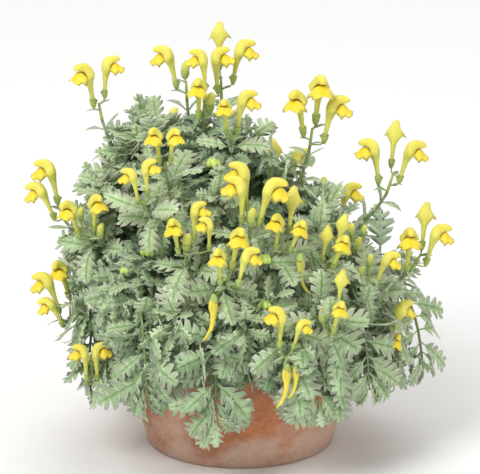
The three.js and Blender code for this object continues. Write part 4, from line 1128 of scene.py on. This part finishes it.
class Blooms:
    """Ready meshes of the flower and its buds, in millimetres: X forward, Y aside, Z up"""

    SEGMENTS = 14

    def __init__(self):
        self.flower = self.make_flower()
        self.buds = {"young": self.make_bud(), "withered": self.make_withered("withered", 0.45, 0.0),
                     "fading": self.make_withered("fading", 0.1, 0.55)}

    def discard(self):
        """Removes the ready flowers and buds once the heads hold their copies"""
        for mesh in (self.flower, *self.buds.values()):
            bpy.data.meshes.remove(mesh)

    @staticmethod
    def start():
        bm = bmesh.new()
        layers = {name: bm.verts.layers.float.new(name) for name in ("warm", "spot", "young")}
        return bm, layers, bm.loops.layers.uv.new("UVMap")

    @staticmethod
    def close(bm, name, uv):
        for face in bm.faces:
            for loop in face.loops:
                x, y, z = loop.vert.co
                loop[uv].uv = (math.atan2(y, x - 1.0) / math.tau + 0.5, z / FLOWER_HEIGHT)
        return as_mesh(bm, name)

    def ring(self, forward, height, depth, width, tilt, hollow=0.0):
        """A ring of the corolla; hollow draws its front in between two standing edges"""
        lean = math.radians(tilt)
        face = Vector((math.cos(lean), 0, -math.sin(lean)))
        points = []
        for k in range(self.SEGMENTS):
            angle = math.tau * k / self.SEGMENTS
            near, aside = math.cos(angle), math.sin(angle)
            step = min(k, self.SEGMENTS - k)
            if step < 2:
                near -= 1.15 * hollow * near
            elif step < 4:
                near += (0.42, 0.28)[step - 2] * hollow
            points.append(Vector((forward, 0, height)) + face * (depth * near)
                          + Vector((0, width * aside, 0)))
        return points

    def make_flower(self):
        """The open flower: tube and hood in rings, the lower lip and the calyx"""
        bm, layers, uv = self.start()
        rows = loft(bm, [self.ring(*ring, HOLLOW_RINGS.get(i, 0.0)) for i, ring in enumerate(COROLLA)])
        for i, row in enumerate(rows):
            for k, vertex in enumerate(row):
                near = math.cos(math.tau * k / self.SEGMENTS)
                if i in (8, 9, 10) and near > 0.75:
                    vertex[layers["spot"]] = 1.0 if i < 10 else 0.5
                vertex[layers["young"]] = max(0.0, 0.55 - 0.13 * i)
                vertex[layers["warm"]] = max(0.0, (i - 6) * 0.05)
        self.add_lip(bm, layers)
        self.add_calyx(bm)
        return self.close(bm, "flower", uv)

    def add_lip(self, bm, layers):
        """The lower lip, raised behind its middle and notched in front, as a thin closed sheet"""
        last = len(LIP_ROWS) - 1
        made = bmesh.ops.create_grid(bm, x_segments=last, y_segments=8, size=0.5)["verts"]
        for vertex in made:
            row = round((vertex.co.x + 0.5) * last)
            t = 2 * vertex.co.y
            reach, half = LIP_ROWS[row]
            notch = 0.8 * max(0.0, (reach - 7.0) / 1.7) * math.exp(-(t / 0.25) ** 2)
            palate = 3.2 * math.exp(-((reach - 3.6) / 2.6) ** 2) * (1 - 0.35 * t * t)
            groove = 0.45 * math.exp(-(t / 0.2) ** 2) * math.exp(-((reach - 2.6) / 2.0) ** 2)
            y = half * t
            ripple = 0.2 * math.sin(reach * 2.4) * t * t
            drop = 0.115 * y * y - 0.14 * reach + 0.085 * max(0.0, reach - 5.8) ** 2
            vertex.co = Vector((2.2 + reach - notch, y, 17.4 + palate - groove + ripple - drop))
            vertex[layers["warm"]] = min(1.0, max(0.0, 0.95 - 0.01 * reach - 0.55 * t * t))
            vertex[layers["spot"]] = max(0.0, 1.0 - reach / 3.6) * max(0.0, 1 - abs(t) * 1.1)
        faces = list({f for v in made for f in v.link_faces})
        for face in faces:
            face.smooth = True
        bmesh.ops.recalc_face_normals(bm, faces=faces)
        if faces[0].normal.z < 0:
            bmesh.ops.reverse_faces(bm, faces=faces)
        rim = {v for v in made if any(e.is_boundary for e in v.link_edges)}
        copied = bmesh.ops.duplicate(bm, geom=made + list({e for f in faces for e in f.edges}) + faces)
        lower = [item for item in copied["geom"] if isinstance(item, bmesh.types.BMFace)]
        bmesh.ops.reverse_faces(bm, faces=lower)
        twins = copied["vert_map"]
        for vertex in made:
            if vertex not in rim:
                twins[vertex].co.z -= 0.55
        bmesh.ops.remove_doubles(bm, verts=list({v for f in faces + lower for v in f.verts}), dist=1e-4)

    def add_calyx(self, bm):
        """The calyx cup with the raised shield on its back"""
        profile = ((0.0, -0.6, 0.5, 0.5, 0), (0.0, 0.0, 1.0, 1.0, 0), (0.05, 1.4, 1.5, 1.55, 2),
                   (0.1, 2.8, 1.65, 1.75, 4), (0.15, 3.9, 1.7, 1.9, 6), (0.2, 4.5, 1.65, 1.85, 8),
                   (0.2, 4.1, 1.2, 1.25, 8))
        rows = loft(bm, [self.ring(*ring) for ring in profile], 1)
        for k, vertex in enumerate(rows[3]):
            if math.cos(math.tau * k / self.SEGMENTS) < -0.75:
                vertex.co += Vector((-1.1, 0, 0.5))

    def make_bud(self):
        """A closed bud in its calyx"""
        bm, layers, uv = self.start()
        profile = ((0.0, 0.8, 0.9, 0.9, 0), (0.0, 2.2, 1.35, 1.35, 0), (0.15, 3.6, 1.6, 1.6, 4),
                   (0.4, 5.0, 1.5, 1.5, 10), (0.8, 6.0, 1.05, 1.1, 18), (1.05, 6.5, 0.45, 0.45, 24))
        rows = loft(bm, [self.ring(*ring) for ring in profile])
        for i, row in enumerate(rows):
            for vertex in row:
                vertex[layers["young"]] = 0.2 + max(0.0, 0.5 - 0.14 * i)
        calyx = ((0.0, -0.4, 0.4, 0.4, 0), (0.0, 0.2, 1.1, 1.1, 0), (0.0, 1.4, 1.55, 1.55, 0),
                 (0.0, 2.4, 1.6, 1.65, 0), (0.0, 2.9, 1.5, 1.5, 0), (0.0, 2.6, 1.0, 1.0, 0))
        loft(bm, [self.ring(*ring) for ring in calyx], 1)
        return self.close(bm, "bud", uv)

    def make_withered(self, name, warm, young):
        """A spent flower, creased and narrowed to its tip"""
        bm, layers, uv = self.start()
        profile = ((0.0, 0.5, 0.8, 0.8, 0), (0.2, 3.0, 1.9, 1.7, 6), (0.3, 5.6, 2.0, 1.7, 2),
                   (0.2, 8.4, 1.3, 1.2, 4), (0.5, 11.5, 1.0, 0.95, 12), (1.4, 14.6, 0.85, 0.8, 26),
                   (3.0, 17.2, 0.7, 0.65, 44), (5.0, 18.6, 0.3, 0.3, 62))
        rows = loft(bm, [self.ring(*ring) for ring in profile])
        for i, row in enumerate(rows):
            for k, vertex in enumerate(row):
                fold = 0.12 * math.sin(5 * math.tau * k / self.SEGMENTS + i)
                vertex.co.y *= 1 + fold
                vertex[layers["warm"]] = warm
                vertex[layers["young"]] = young
                vertex[layers["spot"]] = 0.5 if i in (1, 2) and math.sin(k * 2.1 + i) > 0.6 else 0.1
        calyx = ((0.0, -0.4, 0.4, 0.4, 0), (0.0, 0.2, 1.1, 1.1, 0), (0.0, 1.8, 1.7, 1.7, 0),
                 (0.0, 3.2, 1.8, 1.8, 0), (0.0, 2.9, 1.0, 1.0, 0))
        loft(bm, [self.ring(*ring) for ring in calyx], 1)
        return self.close(bm, name, uv)


def curved_tube(bm, start, end, bow, half, material):
    """A thin stalk that leaves start and comes up to end"""
    curve = Curve([start, start + bow, end - UP * 0.002, end])
    rings = [stem_ring(curve.at(s), curve.along(s), Vector((0.3, 0.95, 0.05)), half, ROUND)
             for s in (0.0, 0.33, 0.66, 1.0)]
    loft(bm, rings, material)


def make_head(name, seat, direction, blooms, leaves, draw):
    """One head: rachis, stalks, flowers, buds and bracts"""
    flowers, buds = HEADS[name]
    bm = bmesh.new()
    along = (direction + UP * 0.7).normalized()
    offsets = [Vector(item[:3]) * MM for item in flowers + buds]
    top = min(0.012, max(0.0045, max(o.dot(along) for o in offsets) - 0.002))
    across = Vector((-0.9, 0.43, 0.1)).normalized()
    rings = [stem_ring(seat + along * top * s, along, across, (0.8 - 0.2 * s) * MM)
             for s in (0.0, 0.25, 0.5, 0.75, 1.0)]
    loft(bm, rings, 1)
    pieces = [(f, blooms.flower) for f in flowers]
    kinds = [bud[4] if len(bud) > 4 else "young" for bud in buds]
    pieces += [((*bud[:3], -60 if kind == "withered" else 90, 0, bud[3]), blooms.buds[kind])
               for bud, kind in zip(buds, kinds)]
    hanging = [False] * len(flowers) + [kind != "young" for kind in kinds]
    for ((x, y, z, facing, lean, size), mesh), hangs in zip(pieces, hanging):
        calyx = seat + Vector((x, y, z)) * MM
        front, side, axis = flower_frame(facing, lean)
        if hangs:
            axis = -axis
            side = -side
        level = min(max((calyx - seat).dot(along) - 0.003, 0.0005), top)
        root = seat + along * level
        curved_tube(bm, root, calyx, (calyx - root) * 0.5, STALK_HALF, 1)
        turn = Matrix((front, side, axis)).transposed().to_4x4()
        scale = size * MM * (HANGING_SIZE if hangs else 1.0)
        matrix = Matrix.Translation(calyx) @ turn @ Matrix.Scale(scale, 4)
        mesh.transform(matrix)
        bm.from_mesh(mesh)
        mesh.transform(matrix.inverted())
        out = Vector((x, y, 0)).normalized() if (x or y) else front
        bract = draw.choice(leaves.head_bracts)
        length = draw.uniform(0.007, 0.0095)
        Leaves.set_on(bm, bract, standing(root, out * 0.8 + along * 0.6, along, length), 0.6)
    return bm


def turn_section(bm, section, steps):
    """Turns a section round the middle into a closed body"""
    row = [bm.verts.new((radius, 0, height)) for radius, height in section]
    edges = [bm.edges.new(pair) for pair in zip(row, row[1:])]
    bmesh.ops.spin(bm, geom=row + edges, cent=(0, 0, 0), axis=(0, 0, 1), angle=math.tau,
                   steps=steps, use_merge=True)
    bmesh.ops.remove_doubles(bm, verts=bm.verts, dist=1e-6)
    bmesh.ops.recalc_face_normals(bm, faces=bm.faces)


def pan_section(pan):
    """The pan's section, from under its foot up round the rim and down to its floor"""
    foot, rim, top = pan.foot_radius, pan.rim_radius, pan.height
    under = top - pan.rim_height
    body_top = foot + (rim - pan.rim_step - foot) * (under / top)
    inner_foot = foot - pan.wall
    inner_top = inner_foot + rim - foot
    return [
        (0, 0), (0.03, 0), (foot - 0.0016, 0), (foot - 0.0004, 0.0005), (foot, 0.0016),
        (foot + (body_top - foot) * 0.5, under * 0.5), (body_top - 0.0004, under - 0.0016),
        (body_top, under - 0.0002), (rim - 0.0016, under), (rim - 0.0004, under + 0.0006),
        (rim - 0.0001, under + 0.003), (rim, top - 0.004), (rim - 0.0004, top - 0.0012),
        (rim - 0.0016, top), (inner_top + 0.0012, top), (inner_top + 0.0001, top - 0.0012),
        (inner_top - 0.001, top - 0.004), (inner_foot + 0.003, pan.floor + 0.006),
        (inner_foot - 0.002, pan.floor + 0.0008), (inner_foot - 0.006, pan.floor), (0, pan.floor),
    ]


def drill_drain_holes(piece, context):
    drill = bmesh.new()
    for k in range(DRAIN_HOLES):
        angle = math.tau * (k + 0.5) / DRAIN_HOLES
        place = Matrix.Translation((DRAIN_CIRCLE * math.cos(angle), DRAIN_CIRCLE * math.sin(angle), 0))
        bmesh.ops.create_cone(drill, cap_ends=True, segments=32, radius1=DRAIN_RADIUS,
                              radius2=DRAIN_INNER_RADIUS, depth=0.03, matrix=place)
    cutter = bpy.data.objects.new("drill", as_mesh(drill, "drill"))
    context.scene.collection.objects.link(cutter)
    cut = piece.modifiers.new("Drain holes", "BOOLEAN")
    cut.operation, cut.solver, cut.object = "DIFFERENCE", "EXACT", cutter
    context.view_layer.update()
    drained = bpy.data.meshes.new_from_object(piece.evaluated_get(context.evaluated_depsgraph_get()))
    piece.modifiers.clear()
    piece.data = drained
    drained.name = "pan"
    bpy.data.objects.remove(cutter)


class SKULLCAP_OT_pan(bpy.types.Operator):
    """Turns the clay pan and drills its drain holes"""
    bl_idname = "skullcap.pan"
    bl_label = "Clay pan"

    def execute(self, context):
        pan = context.scene.skullcap_pan
        bm = bmesh.new()
        turn_section(bm, pan_section(pan), 96)
        for vertex in bm.verts:
            wobble = noise.noise(vertex.co * 28) * 0.00025 + noise.noise(vertex.co * 9) * 0.0003
            out = Vector((vertex.co.x, vertex.co.y, 0))
            if out.length > 0.03 and vertex.co.z > 0.0003:
                vertex.co += out.normalized() * wobble
        for face in bm.faces:
            face.smooth = True
        piece = finish_piece(bm, "pan", [clay_material(pan)], ["clay_pan"])
        drill_drain_holes(piece, context)
        return {"FINISHED"}


class SKULLCAP_OT_soil(bpy.types.Operator):
    """Fills the pan with soil and scatters loose crumbs"""
    bl_idname = "skullcap.soil"
    bl_label = "Soil"

    def execute(self, context):
        pan, soil = context.scene.skullcap_pan, context.scene.skullcap_soil
        draw = random.Random(CRUMB_SEED)
        inner = pan.foot_radius - pan.wall - 0.0004
        slope = (pan.rim_radius - pan.foot_radius) / (pan.height - pan.floor)
        edge = inner + slope * (soil.level - pan.floor)
        bm = bmesh.new()
        profile = [(0, pan.floor + 0.0004), (inner - 0.007, pan.floor + 0.0004),
                   (inner - 0.001, pan.floor + 0.003), (edge - 0.0012, soil.level - 0.002)]
        profile += [((edge - 0.0015) * (1 - k / 24), soil.level + soil.dome * (1 - (1 - k / 24) ** 2))
                    for k in range(25)]
        turn_section(bm, profile, 90)
        for vertex in bm.verts:
            if vertex.co.z > soil.level - 0.001:
                near = max(0.0, 1 - (edge - math.hypot(vertex.co.x, vertex.co.y)) / 0.004)
                rough = noise.fractal(vertex.co * 160, 0.6, 2.0, 4) * 0.0011
                vertex.co.z += rough * (1 - 0.6 * near)
        for _ in range(soil.crumbs):
            radius = (edge - 0.004) * math.sqrt(draw.random())
            angle = draw.uniform(0, math.tau)
            size = draw.uniform(0.0005, 0.0019)
            spot = Vector((radius * math.cos(angle), radius * math.sin(angle), 0))
            spot.z = soil.level + soil.dome * (1 - (radius / edge) ** 2) + size * 0.35
            place = Matrix.Translation(spot) @ Matrix.Rotation(draw.uniform(0, 3), 4, "X") @ (
                Matrix.Diagonal((1, draw.uniform(0.6, 1), draw.uniform(0.5, 0.9), 1)))
            crumb = bmesh.ops.create_icosphere(bm, subdivisions=1, radius=size, matrix=place)["verts"]
            for vertex in crumb:
                vertex.co += noise.noise_vector(vertex.co * 900) * size * 0.3
        for face in bm.faces:
            face.smooth = True
        finish_piece(bm, "potting_soil", [soil_material(soil)], ["soil"])
        return {"FINISHED"}


class SKULLCAP_OT_foliage(bpy.types.Operator):
    """Grows the square stems with their leaves"""
    bl_idname = "skullcap.foliage"
    bl_label = "Leafy stems"

    def execute(self, context):
        plant = context.scene.skullcap_plant
        foliage = Foliage(plant, context.scene.skullcap_pan)
        materials = [leaf_material(plant), stem_material(plant), calyx_material(plant, 1.8)]
        stems = [plan_stem(root, plans) for root, plans in STEMS]
        sprays = share_sprays(stems)
        for i in range(1, len(stems) + 1):
            foliage.draw.seed(plant.seed * 100 + i)
            bm = bmesh.new()
            for k, shoot in enumerate(stems[i - 1]):
                foliage.shoot(bm, shoot, k == 0)
            for spray in sprays[i - 1]:
                foliage.spray(bm, spray)
            finish_piece(bm, f"stem_{i:02d}", materials, [f"leafy_stem_{i:02d}"])
        foliage.leaves.discard()
        return {"FINISHED"}


class SKULLCAP_OT_flowers(bpy.types.Operator):
    """Sets the flower heads on the shoots"""
    bl_idname = "skullcap.flowers"
    bl_label = "Flower heads"

    def execute(self, context):
        plant = context.scene.skullcap_plant
        draw = random.Random(plant.seed)
        blooms, leaves = Blooms(), Leaves(draw)
        green = bpy.data.materials.get("Leaf") or leaf_material(plant)
        materials = [petal_material(plant), calyx_material(plant), green]
        for root, plans in STEMS:
            for shoot in plan_stem(root, plans):
                if "head" not in shoot:
                    continue
                name = shoot["head"]
                direction = shoot["curve"].along(1.0)
                seat = Vector(shoot["tip"]) * MM + direction * 0.0003
                bm = make_head(name, seat, direction, blooms, leaves, draw)
                finish_piece(bm, f"head_{name}", materials, [f"flowers_{name}"])
        leaves.discard()
        blooms.discard()
        return {"FINISHED"}


class SKULLCAP_OT_stage(bpy.types.Operator):
    """Sets up the floor, the lights and the camera"""
    bl_idname = "skullcap.stage"
    bl_label = "Stage"

    def execute(self, context):
        scene, stage = context.scene, context.scene.skullcap_stage
        bm = bmesh.new()
        bmesh.ops.create_grid(bm, x_segments=2, y_segments=2, size=30)
        mesh = as_mesh(bm, "floor")
        material, nodes, shader = new_material("Pale floor")
        cloudy = nodes.noise(nodes.place(), 3.0, 2.0)
        pale = nodes.mix(cloudy, colour([c * 0.99 for c in stage.floor]), colour(stage.floor))
        nodes.tree.links.new(pale, shader.inputs["Base Color"])
        shader.inputs["Roughness"].default_value = 0.95
        mesh.materials.append(material)
        floor = bpy.data.objects.new("floor", mesh)
        scene.collection.objects.link(floor)
        world = bpy.data.worlds.new("Studio")
        world.use_nodes = True
        world.node_tree.nodes["Background"].inputs["Color"].default_value = (1, 1, 1, 1)
        world.node_tree.nodes["Background"].inputs["Strength"].default_value = DAYLIGHT
        scene.world = world
        scene.view_settings.view_transform = "Standard"
        for name, (spot, energy, size) in LAMPS.items():
            lamp = bpy.data.lights.new(name, "AREA")
            lamp.energy, lamp.size = energy, size
            light = bpy.data.objects.new(name, lamp)
            light.location = spot
            to_plant = Vector((0, 0, 0.12)) - Vector(spot)
            light.rotation_euler = to_plant.to_track_quat("-Z", "Y").to_euler()
            scene.collection.objects.link(light)
        camera_data = bpy.data.cameras.new("Camera")
        camera_data.sensor_width = 36
        camera_data.lens = 36 * stage.distance / stage.field
        camera_data.clip_end = 100
        camera = bpy.data.objects.new("Camera", camera_data)
        aim = Vector((0, 0, stage.aim))
        back = Vector((0, -math.cos(stage.elevation), math.sin(stage.elevation)))
        camera.location = aim + back * stage.distance
        camera.rotation_euler = (-back).to_track_quat("-Z", "Y").to_euler()
        scene.collection.objects.link(camera)
        scene.camera = camera
        return {"FINISHED"}


class SKULLCAP_PT_panel(bpy.types.Panel):
    """Lists the steps that build the potted skullcap"""
    bl_idname = "SKULLCAP_PT_panel"
    bl_label = "Potted skullcap"
    bl_space_type = "VIEW_3D"
    bl_region_type = "UI"
    bl_category = "Skullcap"

    def draw(self, context):
        for operator in OPERATORS:
            self.layout.operator(operator.bl_idname)
        for name in SETTINGS:
            box = self.layout.box()
            settings = getattr(context.scene, name)
            for key in settings.__annotations__:
                box.prop(settings, key)


OPERATORS = (SKULLCAP_OT_pan, SKULLCAP_OT_soil, SKULLCAP_OT_foliage, SKULLCAP_OT_flowers,
             SKULLCAP_OT_stage)
SETTINGS = {"skullcap_pan": PanSettings, "skullcap_soil": SoilSettings,
            "skullcap_plant": PlantSettings, "skullcap_stage": StageSettings}


def register():
    for cls in (*SETTINGS.values(), *OPERATORS, SKULLCAP_PT_panel):
        bpy.utils.register_class(cls)
    for name, settings in SETTINGS.items():
        setattr(bpy.types.Scene, name, PointerProperty(type=settings))


def unregister():
    for name in SETTINGS:
        delattr(bpy.types.Scene, name)
    for cls in reversed((*SETTINGS.values(), *OPERATORS, SKULLCAP_PT_panel)):
        bpy.utils.unregister_class(cls)


def main():
    register()
    bpy.ops.skullcap.pan()
    bpy.ops.skullcap.soil()
    bpy.ops.skullcap.foliage()
    bpy.ops.skullcap.flowers()
    bpy.ops.skullcap.stage()
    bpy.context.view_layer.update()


if __name__ == "__main__":
    main()
